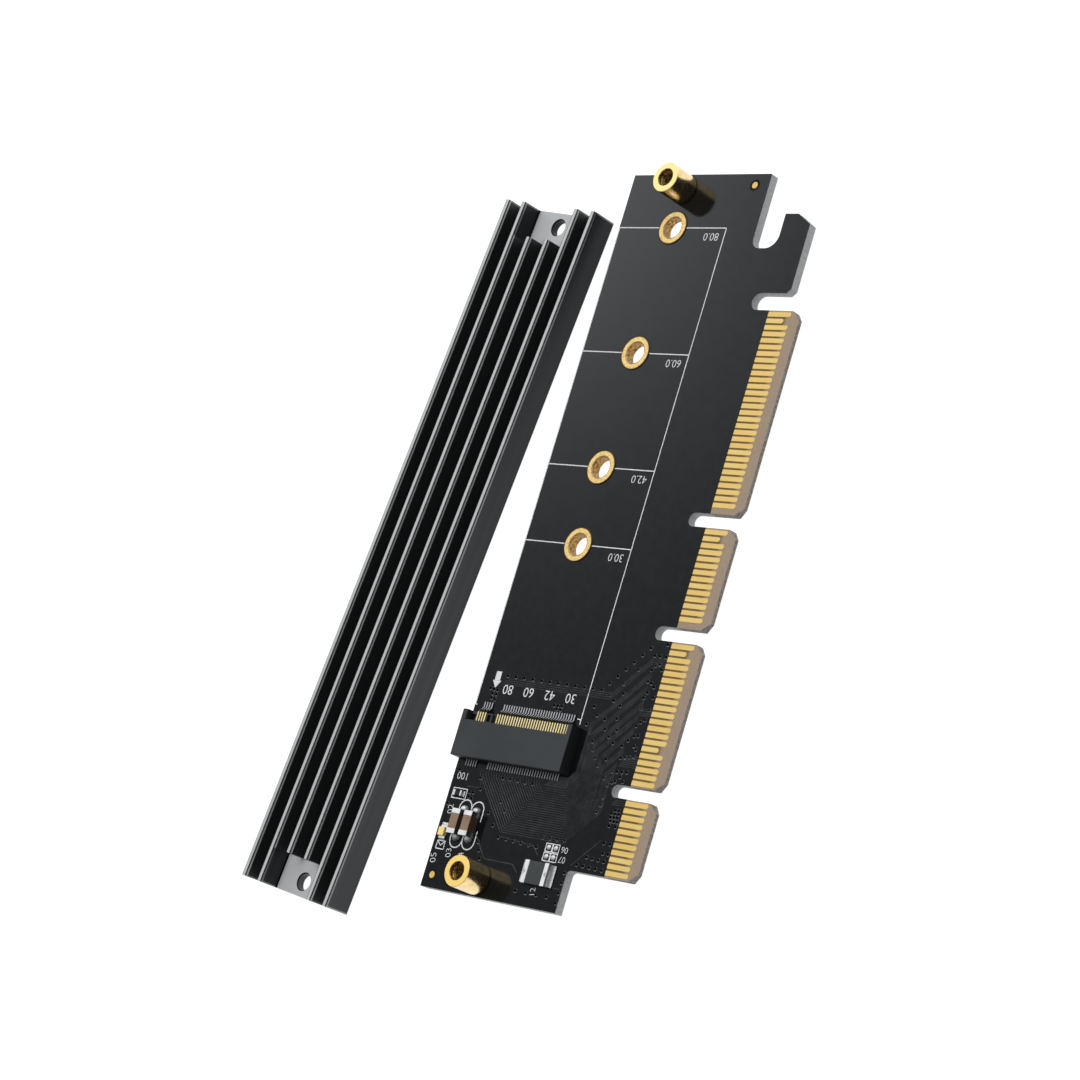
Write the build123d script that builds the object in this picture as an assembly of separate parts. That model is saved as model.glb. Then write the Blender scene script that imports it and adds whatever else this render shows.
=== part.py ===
from build123d import *
import os

# Adapter card that carries a 22 mm wide memory module in a card-edge slot,
# with its finned cover taken off and laid beside it. All sizes in millimetres.
# X = 0 is the contact edge that enters the slot, and the card lies at -X.
# Y = 0 is the middle of the key notch, and +Y runs to the hook end.
# Z = 0 is the card's back face, and the parts stand on the +Z face.

# Board
board_thickness = 1.57
module_line_inset = 28.75    # contact edge to the line through the module holes
body_inset = 12.65           # contact edge to the board's main body
socket_edge_margin = 0.17    # socket's end to the board's plain long edge
far_end_margin = 2.45        # centre of the far post to the short edge at the hook end
near_end_margin = 2.52       # centre of the near post to the other short edge
step_corner_r = 0.7

# Contact tongue
pad_pitch = 1.0
key_gap = 3.0                # pad centre to pad centre across the key notch
pad_width = 0.7
pad_length = 4.25
short_pad_length = 3.15
pad_tip_inset = 1.35         # contact edge to the pads' rounded tips
pad_thickness = 0.05         # pads lie on bare laminate, level with the coating past them
pad_tip_chamfer = 0.2
pad_margin = 0.6             # outer pad centre to the edge of its tongue
tongue_corner = 1.2
bevel_length = 1.2
bevel_height = 0.45

# Contact positions count from the board's start; each pair is the first and last of a tongue.
tongue_positions = [(1, 11), (12, 32), (36, 49), (53, 82)]
position_before_key = 11
short_positions_front = [17, 31, 48, 81]
short_positions_back = [1]

# Notches beside and between the tongues
key_notch_width = 1.9
key_notch_depth = 8.85
gap_notch_width = 2.1
gap_notch_depth = 9.3
end_notch_width = 2.7
end_notch_depth = 9.4

# Retention hook past the last tongue
hook_inset = 2.8             # contact edge to the hook's outer face
hook_slot_width = 4.87
hook_slot_floor_y = 81.67
hook_slot_r_inner = 1.6
hook_slot_r_outer = 2.2
hook_tip_y = 87.09
hook_chamfer_x = 2.55
hook_chamfer_y = 1.55
hook_heel_chamfer = 0.7

# Plated holes that hold a module's end at each module length
module_stop_y = 4.8          # where a module's contact edge stops in the socket
module_lengths = [30, 42, 60, 80]
ring_bore_r = 1.65
ring_barrel_r = 2.05
ring_flange_r = 2.7
ring_rise = 0.12

# Threaded posts that carry the finned cover
near_post_y = -15.85
far_post_gap = 6.15          # last module hole to the far post
post_r = 2.35
post_height = 4.6
post_thread_r = 1.12
post_mouth_r = 1.38
post_shank_r = 1.9

# Module socket
socket_offset_x = 0.27       # socket centre past the module line
socket_width = 21.9
socket_rear_y = 0.95
socket_depth = 7.0
socket_height = 2.1
socket_tower_width = 0.85
socket_top_setback = 1.55
socket_lip_height = 0.9
slot_ceiling = 1.8
socket_edge_chamfer = 0.12
contact_pitch = 0.5
contact_width = 0.22
contact_thickness = 0.16
contact_clearance = 0.03
lip_groove_depth = 0.12
tail_length = 0.75
tail_exit_height = 0.4
tail_reach = 1.8             # front face of the socket to the tails' ends
rear_tail_reach = 0.95
bend_run = 0.75
contact_bump = 0.14          # rise of a contact's free tip towards the module
bump_run = 0.7
long_group_count = 29        # contacts on the long side of the key
lower_short_count = 4
upper_short_count = 5
lower_first_x = 9.0
upper_first_x = 9.25
key_positions = 4            # contact places that the key takes up
key_rib_width = 1.3
key_rib_height = 1.5
key_pocket_width = 0.65
key_pocket_length = 1.05
end_pocket_width = 0.75
end_pocket_floor = 0.35
end_pocket_wall = 0.4
key_rib_setback = 0.16
key_pocket_wall = 0.16
peg_small_r = 0.55
peg_large_r = 0.8
peg_length = 1.1
peg_inset = 1.45             # socket end to each peg's centre
peg_from_rear = 3.1
peg_clearance = 0.05

# Chip parts: length, width, height, end cap length
capacitor_size = (3.7, 1.65, 1.7, 0.75)
resistor_size = (1.6, 0.85, 0.5, 0.32)
lamp_size = (2.0, 1.25, 0.75, 0.38)
fuse_size = (4.55, 3.35, 1.0, 0.78)
end_cap_wall = 0.05
end_cap_chamfer = 0.04
lens_chamfer = 0.05
lamp_base_height = 0.3
fuse_scallop_r = 0.45
fuse_scallop_sides = 8
capacitor_y = -8.46
capacitor_outer_x = 6.55     # module line to each capacitor, towards the plain edge
capacitor_inner_x = 4.08
resistor_place = (-8.6, -4.15)
lamp_place = (-9.3, -10.1)
fuse_place = (11.2, -13.5)
fillet_share = 0.55          # height of a solder fillet against its end cap
fillet_width_share = 0.9
fillet_toe = 0.12            # shares of the fillet's rise and run at its toe and belly
fillet_belly = (0.35, 0.4)
capacitor_fillet = 0.95
resistor_fillet = 0.3
lamp_fillet = 0.35
fuse_fillet = 0.45
spare_pad_r = 0.42
spare_pad_rise = 0.2
spare_pad_sides = 12
spare_pad_shoulder = 0.14
spare_pad_middle = (12.24, -10.17)
spare_pad_pitch_x = 1.36
spare_pad_pitch_y = 1.35

# Fiducial dots, from the module line
fiducial_r = 0.52
fiducial_sides = 16
fiducial_rise = 0.02
fiducial_places = [(13.55, 91.6), (-9.17, -16.48)]

# Finned cover, an extrusion with milled ends
cover_width = 19.8
cover_hole_inset = 2.3       # cover's end to the centre of its screw hole
cover_base = 1.3
cover_height = 4.6
fin_tip = 0.85
fin_root = 1.05
fin_root_chamfer = 0.2
fin_tip_chamfer = 0.08
outer_fin_pitch = 3.65
inner_fin_pitch = 3.8
middle_fin_setback = 5.5
cover_hole_r = 1.3
cover_hole_chamfer = 0.15
cover_middle = (-58.24, 31.78)
cover_turn = -6.0

# Worked out from the sizes above
module_line = -module_line_inset
left_margin = socket_width / 2 - socket_offset_x + socket_edge_margin
board_left = module_line - left_margin
body_edge = -body_inset
top = board_thickness
coat_edge = -(pad_tip_inset + pad_length)
socket_x = module_line + socket_offset_x
socket_front_y = socket_rear_y + socket_depth
hook_face = -hook_inset
hook_slot_edge = body_edge + hook_slot_width
far_post_y = module_stop_y + module_lengths[-1] + far_post_gap
board_start_y = near_post_y - near_end_margin
board_end_y = far_post_y + far_end_margin
post_spacing = far_post_y - near_post_y
cover_length = post_spacing + 2 * cover_hole_inset


def pad_y(number):
    """Centre of a pad along the contact edge."""
    if number <= position_before_key:
        return -key_gap / 2 - (position_before_key - number) * pad_pitch
    return key_gap / 2 + (number - position_before_key - 1) * pad_pitch


tongue_start_y = pad_y(tongue_positions[0][0]) - pad_margin
tongue_end_y = pad_y(tongue_positions[-1][1]) + pad_margin
end_notch_top_y = tongue_end_y + end_notch_width


def block(x0, x1, y0, y1, z0, z1):
    """Box between two corners."""
    size = Box(x1 - x0, y1 - y0, z1 - z0, align=(Align.MIN, Align.MIN, Align.MIN))
    return Pos(x0, y0, z0) * size


def plate(x0, x1, y0, y1):
    """Flat rectangle between two corners."""
    return Pos((x0 + x1) / 2, (y0 + y1) / 2) * Rectangle(x1 - x0, y1 - y0)


def notch(y_middle, width, depth):
    """Notch cut in from the contact edge, with a round inner end."""
    inner = -depth + width / 2
    straight = plate(inner, 0, y_middle - width / 2, y_middle + width / 2)
    return straight + Pos(inner, y_middle) * Circle(width / 2)


def near(shape, x, y):
    """The flat shape's corner nearest to a point."""
    return shape.vertices().sort_by_distance(Vector(x, y, 0))[0]


def board_outline():
    """Outline of the board, seen from above."""
    body = plate(board_left, body_edge, board_start_y, board_end_y)
    shoulder = plate(body_edge, hook_face, tongue_start_y, hook_tip_y)
    tongue = plate(hook_face, 0, tongue_start_y, tongue_end_y)
    outline = body + shoulder + tongue
    outline -= notch(0, key_notch_width, key_notch_depth)
    for tongue_before in tongue_positions[1:-1]:
        start = pad_y(tongue_before[1]) + pad_margin
        outline -= notch(start + gap_notch_width / 2, gap_notch_width, gap_notch_depth)
    outline -= notch(tongue_end_y + end_notch_width / 2, end_notch_width, end_notch_depth)
    slot = plate(body_edge, hook_slot_edge, hook_slot_floor_y, board_end_y)
    slot = fillet(near(slot, body_edge, hook_slot_floor_y), hook_slot_r_inner)
    slot = fillet(near(slot, hook_slot_edge, hook_slot_floor_y), hook_slot_r_outer)
    outline -= slot
    cut = Polygon(
        (hook_face - hook_chamfer_x, hook_tip_y),
        (hook_face, hook_tip_y - hook_chamfer_y),
        (hook_face, hook_tip_y),
        align=None,
    )
    outline -= cut
    outline = chamfer(near(outline, hook_face, end_notch_top_y), hook_heel_chamfer)
    outline = fillet(near(outline, body_edge, tongue_start_y), step_corner_r)
    corners = outline.vertices().filter_by(lambda v: abs(v.X) < 1e-6)
    return chamfer(corners, tongue_corner)


def circuit_board():
    """Coated board with its bare bevelled tongue and every hole."""
    board = extrude(board_outline(), amount=board_thickness)
    for face_z, inward in ((top, -1), (0, 1)):
        wedge = Polygon(
            (-bevel_length, face_z),
            (0, face_z + inward * bevel_height),
            (0, face_z),
            align=None,
        )
        board -= extrude(Plane.XZ * wedge, amount=board_end_y, both=True)
    for z in (0, top - pad_thickness):
        board -= block(coat_edge, 0, tongue_start_y, tongue_end_y, z, z + pad_thickness)
    cuts = []
    for y in ring_places():
        cuts.append(Pos(module_line, y, top / 2) * Cylinder(ring_barrel_r, board_thickness))
    for y in (near_post_y, far_post_y):
        cuts.append(Pos(module_line, y, top / 2) * Cylinder(post_shank_r, board_thickness))
    for x, radius in peg_places():
        hole = Cylinder(radius + peg_clearance, board_thickness)
        cuts.append(Pos(x, socket_rear_y + peg_from_rear, top / 2) * hole)
    return board - cuts


def ring_places():
    """Y of each module hole."""
    return [module_stop_y + length for length in module_lengths]


def peg_places():
    """X and radius of the socket's two locating pegs."""
    reach = socket_width / 2 - peg_inset
    return [(socket_x - reach, peg_small_r), (socket_x + reach, peg_large_r)]


def all_pads():
    """Numbers of the pads that the board has."""
    return [number for first, last in tongue_positions for number in range(first, last + 1)]


def pad(number, on_back, z):
    """One contact pad, its tip towards the contact edge."""
    short = short_positions_back if on_back else short_positions_front
    length = short_pad_length if number in short else pad_length
    shape = plate(coat_edge, coat_edge + length, -pad_width / 2, pad_width / 2)
    shape = chamfer(shape.vertices().group_by(Axis.X)[-1], pad_tip_chamfer)
    return Pos(0, pad_y(number), z) * extrude(shape, amount=pad_thickness)


def edge_contacts(on_back):
    """Row of contact pads on one face of the tongue."""
    z = 0 if on_back else top - pad_thickness
    return Compound(children=[pad(number, on_back, z) for number in all_pads()])


def hole_ring(y):
    """Plated hole: a barrel through the board with a flange on its front."""
    barrel = Cylinder(ring_barrel_r, board_thickness, align=(Align.CENTER, Align.CENTER, Align.MIN))
    flange = Cylinder(ring_flange_r, ring_rise, align=(Align.CENTER, Align.CENTER, Align.MIN))
    ring = barrel + Pos(0, 0, top) * flange
    ring -= Pos(0, 0, top / 2) * Cylinder(ring_bore_r, board_thickness + 2 * ring_rise)
    return Pos(module_line, y, 0) * ring


def post(y):
    """Turned post with a shank pressed into the board and a thread right through."""
    mouth = post_mouth_r - post_thread_r
    half = Polygon(
        (post_thread_r, 0),
        (post_shank_r, 0),
        (post_shank_r, top),
        (post_r, top),
        (post_r, top + post_height),
        (post_mouth_r, top + post_height),
        (post_thread_r, top + post_height - mouth),
        align=None,
    )
    return Pos(module_line, y, 0) * revolve(Plane.XZ * half, axis=Axis.Z)


def group_places(first_x, short_count):
    """X of each contact in a row, from the socket's centre: the long group, then the short."""
    long_side = [first_x - i * contact_pitch for i in range(long_group_count)]
    restart = first_x - (long_group_count + key_positions) * contact_pitch
    return long_side + [restart - i * contact_pitch for i in range(short_count)]


def lower_places():
    return group_places(lower_first_x, lower_short_count)


def upper_places():
    return group_places(upper_first_x, upper_short_count)


def key_x():
    """Middle of the key, from the socket's centre."""
    lower_gap = lower_first_x - (long_group_count - 1 + (key_positions + 1) / 2) * contact_pitch
    upper_gap = upper_first_x - (long_group_count - 1 + (key_positions + 1) / 2) * contact_pitch
    return (lower_gap + upper_gap) / 2


def strip(path, x):
    """Bent contact strip: a centre line in Y and Z, given its thickness and width."""
    half = contact_thickness / 2
    left, right = [], []
    for i, point in enumerate(path):
        here = Vector(*point)
        before = (here - Vector(*path[i - 1])).normalized() if i > 0 else None
        after = (Vector(*path[i + 1]) - here).normalized() if i < len(path) - 1 else None
        before = before or after
        after = after or before
        turn = before + after
        along = turn.normalized()
        reach = half / (along.dot(before))
        normal = Vector(-along.Y, along.X) * reach
        left.append(here + normal)
        right.append(here - normal)
    corners = [(v.X, v.Y) for v in left + right[::-1]]
    shape = Plane.YZ * Polygon(*corners, align=None)
    return Pos(socket_x + x, 0, top) * extrude(shape, amount=contact_width / 2, both=True)


def lower_contact(x):
    """Contact on the socket's lip, bent down at the mouth to a tail on the board."""
    half = contact_thickness / 2
    beam_z = socket_lip_height - lip_groove_depth + half
    tip_y = module_stop_y + contact_clearance
    out_y = socket_front_y + contact_thickness
    path = [
        (tip_y, beam_z + contact_bump),
        (tip_y + bump_run, beam_z),
        (out_y, beam_z),
        (out_y + bend_run, half),
        (socket_front_y + tail_reach, half),
    ]
    return strip(path, x)


def upper_contact(x):
    """Contact that rises inside the socket and runs out under its top wall."""
    half = contact_thickness / 2
    beam_z = slot_ceiling + lip_groove_depth - half
    leg_y = socket_rear_y + tail_length
    tip_y = socket_front_y - socket_top_setback - contact_clearance
    path = [
        (socket_rear_y - rear_tail_reach, half),
        (leg_y, half),
        (leg_y, beam_z),
        (tip_y - bump_run, beam_z),
        (tip_y, beam_z - contact_bump),
    ]
    return strip(path, x)


def contact_row(places, make):
    """All contacts of one row."""
    return Compound(children=[make(x) for x in places])


def socket_housing():
    """Moulded socket: end towers, comb for the contacts, key rib and locating pegs."""
    half_width = socket_width / 2
    inner = half_width - socket_tower_width
    lip_y = socket_front_y - socket_top_setback
    shell = block(-half_width, half_width, socket_rear_y, socket_front_y, 0, socket_height)
    shell = chamfer(shell.edges().filter_by(Axis.X).group_by(Axis.Z)[-1], socket_edge_chamfer)
    cuts = [
        block(-inner, inner, lip_y, socket_front_y, socket_lip_height, socket_height),
        block(-inner, inner, module_stop_y, lip_y, socket_lip_height, slot_ceiling),
    ]
    channel = contact_width + 2 * contact_clearance
    groove_floor = socket_lip_height - lip_groove_depth
    for x in lower_places():
        side = (x - channel / 2, x + channel / 2)
        cuts.append(block(*side, module_stop_y, socket_front_y, groove_floor, socket_lip_height))
    leg_y = socket_rear_y + tail_length
    leg_front = leg_y + contact_thickness
    ceiling = slot_ceiling + lip_groove_depth
    for x in upper_places():
        side = (x - channel / 2, x + channel / 2)
        cuts.append(block(*side, socket_rear_y, leg_front, 0, tail_exit_height))
        cuts.append(block(*side, leg_y - contact_thickness, leg_front, tail_exit_height, ceiling))
        cuts.append(block(*side, leg_front, lip_y, ceiling - 2 * contact_thickness, ceiling))
    pocket_end = -inner + end_pocket_width
    pocket_front = socket_front_y - end_pocket_wall
    cuts.append(block(-inner, pocket_end, module_stop_y, pocket_front, end_pocket_floor, socket_lip_height))
    shell -= cuts
    rib_x = key_x()
    rib_end = socket_front_y - key_rib_setback
    rib_side = (rib_x - key_rib_width / 2, rib_x + key_rib_width / 2)
    shell += block(*rib_side, module_stop_y, lip_y, socket_lip_height, slot_ceiling)
    shell += block(*rib_side, lip_y, rib_end, socket_lip_height, key_rib_height)
    pocket_y = rib_end - key_pocket_wall
    pocket_side = (rib_x - key_pocket_width / 2, rib_x + key_pocket_width / 2)
    shell -= block(*pocket_side, pocket_y - key_pocket_length, pocket_y, end_pocket_floor, key_rib_height)
    shell = Pos(socket_x, 0, top) * shell
    for x, radius in peg_places():
        peg = Cylinder(radius, peg_length, align=(Align.CENTER, Align.CENTER, Align.MAX))
        shell += Pos(x, socket_rear_y + peg_from_rear, top) * peg
    return shell


def chip(size, place, turn, lower=0.0):
    """Chip part: a body and the two end caps that wrap its ends."""
    length, width, height, cap = size
    body_height = height - 2 * end_cap_wall - lower
    body = Pos(0, 0, end_cap_wall) * Box(
        length - 2 * end_cap_wall,
        width - 2 * end_cap_wall,
        body_height,
        align=(Align.CENTER, Align.CENTER, Align.MIN),
    )
    caps = []
    for side in (-1, 1):
        end = Box(cap, width, height - lower, align=(Align.CENTER, Align.CENTER, Align.MIN))
        end = chamfer(end.edges().group_by(Axis.Z)[-1], end_cap_chamfer)
        caps.append(Pos(side * (length - cap) / 2, 0, 0) * end - body)
    where = Pos(module_line + place[0], place[1], top) * Rot(0, 0, turn)
    return where * body, Compound(children=[where * end for end in caps])


def capacitor(x):
    return chip(capacitor_size, (-x, capacitor_y), 90)


def fuse_parts():
    """Fuse with a scallop in the middle of each end."""
    body, ends = chip(fuse_size, fuse_place, 0)
    length, _, height, _ = fuse_size
    cutter = extrude(RegularPolygon(fuse_scallop_r, fuse_scallop_sides), amount=height)
    x = module_line + fuse_place[0]
    scallops = [Pos(x + side * length / 2, fuse_place[1], top) * cutter for side in (-1, 1)]
    return body - scallops, Compound(children=[end - scallops for end in ends.solids()])


def lamp_parts():
    """Indicator lamp: a base with end caps and a moulded lens between them."""
    length, width, height, cap = lamp_size
    base, ends = chip(lamp_size, lamp_place, 90, height - lamp_base_height)
    lens = Box(
        length - 2 * cap,
        width - 2 * end_cap_wall,
        height - lamp_base_height + end_cap_wall,
        align=(Align.CENTER, Align.CENTER, Align.MIN),
    )
    lens = chamfer(lens.edges().group_by(Axis.Z)[-1], lens_chamfer)
    where = Pos(module_line + lamp_place[0], lamp_place[1], top + lamp_base_height - end_cap_wall)
    return base, ends, where * Rot(0, 0, 90) * lens


def solder_pair(size, place, turn, run, lower=0.0):
    """Solder at a chip part's two ends, hollowed as it wets the end cap."""
    length, width, height, _ = size
    rise = (height - lower) * fillet_share
    belly_x, belly_z = fillet_belly
    line = [(0, 0), (run, 0), (run, rise * fillet_toe), (run * belly_x, rise * belly_z), (0, rise)]
    half_width = width * fillet_width_share / 2
    shape = extrude(Plane.XZ * Polygon(*line, align=None), amount=half_width, both=True)
    where = Pos(module_line + place[0], place[1], top) * Rot(0, 0, turn)
    ends = [Pos(length / 2, 0, 0) * shape, Rot(0, 0, 180) * Pos(length / 2, 0, 0) * shape]
    return [where * end for end in ends]


def solder_joints():
    """Solder fillets of every chip part on the board."""
    joints = solder_pair(capacitor_size, (-capacitor_outer_x, capacitor_y), 90, capacitor_fillet)
    joints += solder_pair(capacitor_size, (-capacitor_inner_x, capacitor_y), 90, capacitor_fillet)
    joints += solder_pair(resistor_size, resistor_place, 0, resistor_fillet)
    joints += solder_pair(lamp_size, lamp_place, 90, lamp_fillet, lamp_size[2] - lamp_base_height)
    fuse_solder = solder_pair(fuse_size, fuse_place, 0, fuse_fillet)
    return Compound(children=joints + fuse_solder)


def spare_pads():
    """Domes of solder on two footprints that carry no part."""
    dome = extrude(RegularPolygon(spare_pad_r, spare_pad_sides), amount=spare_pad_rise)
    dome = chamfer(dome.edges().group_by(Axis.Z)[-1], spare_pad_shoulder)
    x, y = spare_pad_middle
    places = [
        Pos(module_line + x + i * spare_pad_pitch_x / 2, y + j * spare_pad_pitch_y / 2, top)
        for i in (-1, 1)
        for j in (-1, 1)
    ]
    return Compound(children=[place * dome for place in places])


def fiducial_dots():
    """Round alignment dots on the board's face."""
    dot = extrude(RegularPolygon(fiducial_r, fiducial_sides), amount=fiducial_rise)
    return Compound(children=[Pos(module_line + x, y, top) * dot for x, y in fiducial_places])


def fin_profile(x, tip_left, tip_right):
    """Section of one fin, leaning in from a wider root."""
    spread = (fin_root - fin_tip) / 2
    return Polygon(
        (x + fin_tip / 2 + (0 if tip_right else spread), cover_base),
        (x + fin_tip / 2, cover_height - fin_tip_chamfer),
        (x + fin_tip / 2 - fin_tip_chamfer, cover_height),
        (x - fin_tip / 2 + fin_tip_chamfer, cover_height),
        (x - fin_tip / 2, cover_height - fin_tip_chamfer),
        (x - fin_tip / 2 - (0 if tip_left else spread), cover_base),
        align=None,
    )


def fin_places():
    """X of each fin, from the cover's middle."""
    outer = (cover_width - fin_tip) / 2
    next_in = outer - outer_fin_pitch
    middle = next_in - inner_fin_pitch
    return [-outer, -next_in, -middle, middle, next_in, outer]


def finned_cover():
    """Extruded cover: six fins on a plate, the middle pair milled short over the screws."""
    section = Pos(0, cover_base / 2) * Rectangle(cover_width, cover_base)
    fins = fin_places()
    for i, x in enumerate(fins):
        section += fin_profile(x, i == 0, i == len(fins) - 1)
    outer = cover_width / 2 - fin_root
    roots = section.vertices().filter_by(
        lambda v: abs(v.Y - cover_base) < 1e-6 and abs(v.X) < outer + fin_root / 2
    )
    section = chamfer(roots, fin_root_chamfer)
    cover = Pos(0, cover_length / 2, 0) * extrude(Plane.XZ * section, amount=cover_length)
    reach = (fins[4] + fins[3]) / 2
    for side in (-1, 1):
        end = side * cover_length / 2
        start = end - side * middle_fin_setback
        cover -= block(-reach, reach, min(start, end), max(start, end), cover_base, cover_height)
        bore = Cylinder(cover_hole_r, cover_base, align=(Align.CENTER, Align.CENTER, Align.MIN))
        mouth = Cone(
            cover_hole_r,
            cover_hole_r + cover_hole_chamfer,
            cover_hole_chamfer,
            align=(Align.CENTER, Align.CENTER, Align.MAX),
        )
        cover -= Pos(0, side * post_spacing / 2, 0) * bore
        cover -= Pos(0, side * post_spacing / 2, cover_base) * mouth
    return Pos(cover_middle[0], cover_middle[1], 0) * Rot(0, 0, cover_turn) * cover


def build():
    """Every node of the model by name."""
    outer_body, outer_ends = capacitor(capacitor_outer_x)
    inner_body, inner_ends = capacitor(capacitor_inner_x)
    resistor_body, resistor_ends = chip(resistor_size, resistor_place, 0)
    fuse_body, fuse_ends = fuse_parts()
    lamp_base, lamp_ends, lamp_lens = lamp_parts()
    nodes = {
        "circuit_board": circuit_board(),
        "edge_contacts_front": edge_contacts(False),
        "edge_contacts_back": edge_contacts(True),
        "socket_housing": socket_housing(),
        "socket_contacts_lower": contact_row(lower_places(), lower_contact),
        "socket_contacts_upper": contact_row(upper_places(), upper_contact),
        "cover_post_near": post(near_post_y),
        "cover_post_far": post(far_post_y),
        "capacitor_outer_body": outer_body,
        "capacitor_outer_ends": outer_ends,
        "capacitor_inner_body": inner_body,
        "capacitor_inner_ends": inner_ends,
        "resistor_body": resistor_body,
        "resistor_ends": resistor_ends,
        "fuse_body": fuse_body,
        "fuse_ends": fuse_ends,
        "lamp_base": lamp_base,
        "lamp_ends": lamp_ends,
        "lamp_lens": lamp_lens,
        "solder_joints": solder_joints(),
        "spare_pad_solder": spare_pads(),
        "fiducial_dots": fiducial_dots(),
        "finned_cover": finned_cover(),
    }
    for length, y in zip(module_lengths, ring_places()):
        nodes[f"hole_ring_{length}"] = hole_ring(y)
    return nodes


os.makedirs("parts", exist_ok=True)
for name, shape in build().items():
    export_step(shape, f"parts/{name}.step")
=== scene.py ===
import math

import bmesh
import bpy
from bpy.props import BoolProperty, FloatProperty, FloatVectorProperty, IntProperty, PointerProperty
from mathutils import Euler, Matrix, Vector


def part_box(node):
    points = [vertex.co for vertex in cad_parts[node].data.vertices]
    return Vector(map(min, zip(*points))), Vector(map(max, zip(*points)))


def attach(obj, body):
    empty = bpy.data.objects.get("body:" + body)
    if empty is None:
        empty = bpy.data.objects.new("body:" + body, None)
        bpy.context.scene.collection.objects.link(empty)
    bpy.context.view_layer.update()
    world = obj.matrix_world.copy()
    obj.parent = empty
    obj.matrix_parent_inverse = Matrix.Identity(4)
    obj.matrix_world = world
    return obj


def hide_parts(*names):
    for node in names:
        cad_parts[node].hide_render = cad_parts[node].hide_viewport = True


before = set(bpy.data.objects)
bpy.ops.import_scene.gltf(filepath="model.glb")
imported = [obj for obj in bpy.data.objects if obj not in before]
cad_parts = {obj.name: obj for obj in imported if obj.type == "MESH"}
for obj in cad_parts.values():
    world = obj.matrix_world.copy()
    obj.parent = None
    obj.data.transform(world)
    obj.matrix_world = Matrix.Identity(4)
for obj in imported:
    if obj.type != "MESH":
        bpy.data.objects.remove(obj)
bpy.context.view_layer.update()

bl_info = {
    "name": "Adapter card dressing",
    "version": (1, 0, 0),
    "blender": (4, 5, 0),
    "location": "3D View > Sidebar > Adapter card",
    "description": "Dresses the packed adapter card and its finned cover for rendering",
    "category": "Object",
}

# The card lies on its back at Z = 0, its contact edge at X = 0, the key notch at Y = 0.
# Places on the board are millimetres from the module line (X) and the key notch (Y).
MM = 0.001
CARD_LOW, CARD_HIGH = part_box("circuit_board")
SOCKET_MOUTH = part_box("socket_housing")[1].y
COVER_LOW, COVER_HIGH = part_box("finned_cover")
RING_LENGTHS = (30, 42, 60, 80)
RING_BOXES = {length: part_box(f"hole_ring_{length}") for length in RING_LENGTHS}
MODULE_LINE = (RING_BOXES[30][0].x + RING_BOXES[30][1].x) / 2
BOARD_TOP = CARD_HIGH.z
CARD_LEFT = (CARD_LOW.x - MODULE_LINE) / MM
CONTACT_LOW, CONTACT_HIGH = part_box("edge_contacts_front")
COAT_EDGE = CONTACT_LOW.x
COAT_EDGE_MM = (COAT_EDGE - MODULE_LINE) / MM
TONGUE_MARGIN = 0.25 * MM
TONGUE_START = CONTACT_LOW.y - TONGUE_MARGIN
TONGUE_END = CONTACT_HIGH.y + TONGUE_MARGIN

# Chip parts, by their nodes, and those with beads of solder
CHIPS = ("capacitor_outer", "capacitor_inner", "resistor", "lamp", "fuse")
BEADED = ("capacitor_outer", "capacitor_inner")

# The cover lies beside the card, turned a little; its size is that of the straight cover
COVER_TURN = math.radians(-6)
COVER_MIDDLE = (COVER_LOW + COVER_HIGH) / 2
COVER_HALF_WIDTH = 9.9 * MM
COVER_REACH = (COVER_HIGH.y - COVER_LOW.y) / 2
COVER_HALF_LENGTH = (COVER_REACH + COVER_HALF_WIDTH * math.sin(COVER_TURN)) / math.cos(COVER_TURN)


def srgb(red, green, blue):
    """A colour given in display values from 0 to 255, as linear light."""
    def linear(value):
        share = value / 255
        return share / 12.92 if share <= 0.04045 else ((share + 0.055) / 1.055) ** 2.4
    return (linear(red), linear(green), linear(blue), 1.0)


def rgb(color):
    """A colour property as four numbers."""
    return (*color, 1.0)


def dimmed(color, share):
    """A colour with its light multiplied by a share."""
    return (*(min(1.0, part * share) for part in color[:3]), 1.0)


def ring_y(length):
    """Place of a module hole along the card, in millimetres."""
    low, high = RING_BOXES[length]
    return (low.y + high.y) / 2 / MM


def contact_blocks():
    """Where each unbroken row of edge contacts starts and ends along Y."""
    widest_gap = 0.8 * MM
    places = sorted(vert.co.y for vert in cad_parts["edge_contacts_front"].data.vertices)
    blocks = [[places[0], places[0]]]
    for y in places:
        if y - blocks[-1][1] > widest_gap:
            blocks.append([y, y])
        blocks[-1][1] = y
    return blocks


def upright_axis(low, high):
    """Foot of the upright line through the middle of a box."""
    return Vector(((low.x + high.x) / 2, (low.y + high.y) / 2, 0))


def spot(x, y, rise=0.0):
    """A place on the board's face, from the module line and the key notch in millimetres."""
    return Vector((MODULE_LINE + x * MM, y * MM, BOARD_TOP + rise * MM))


# Shader nodes

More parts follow.
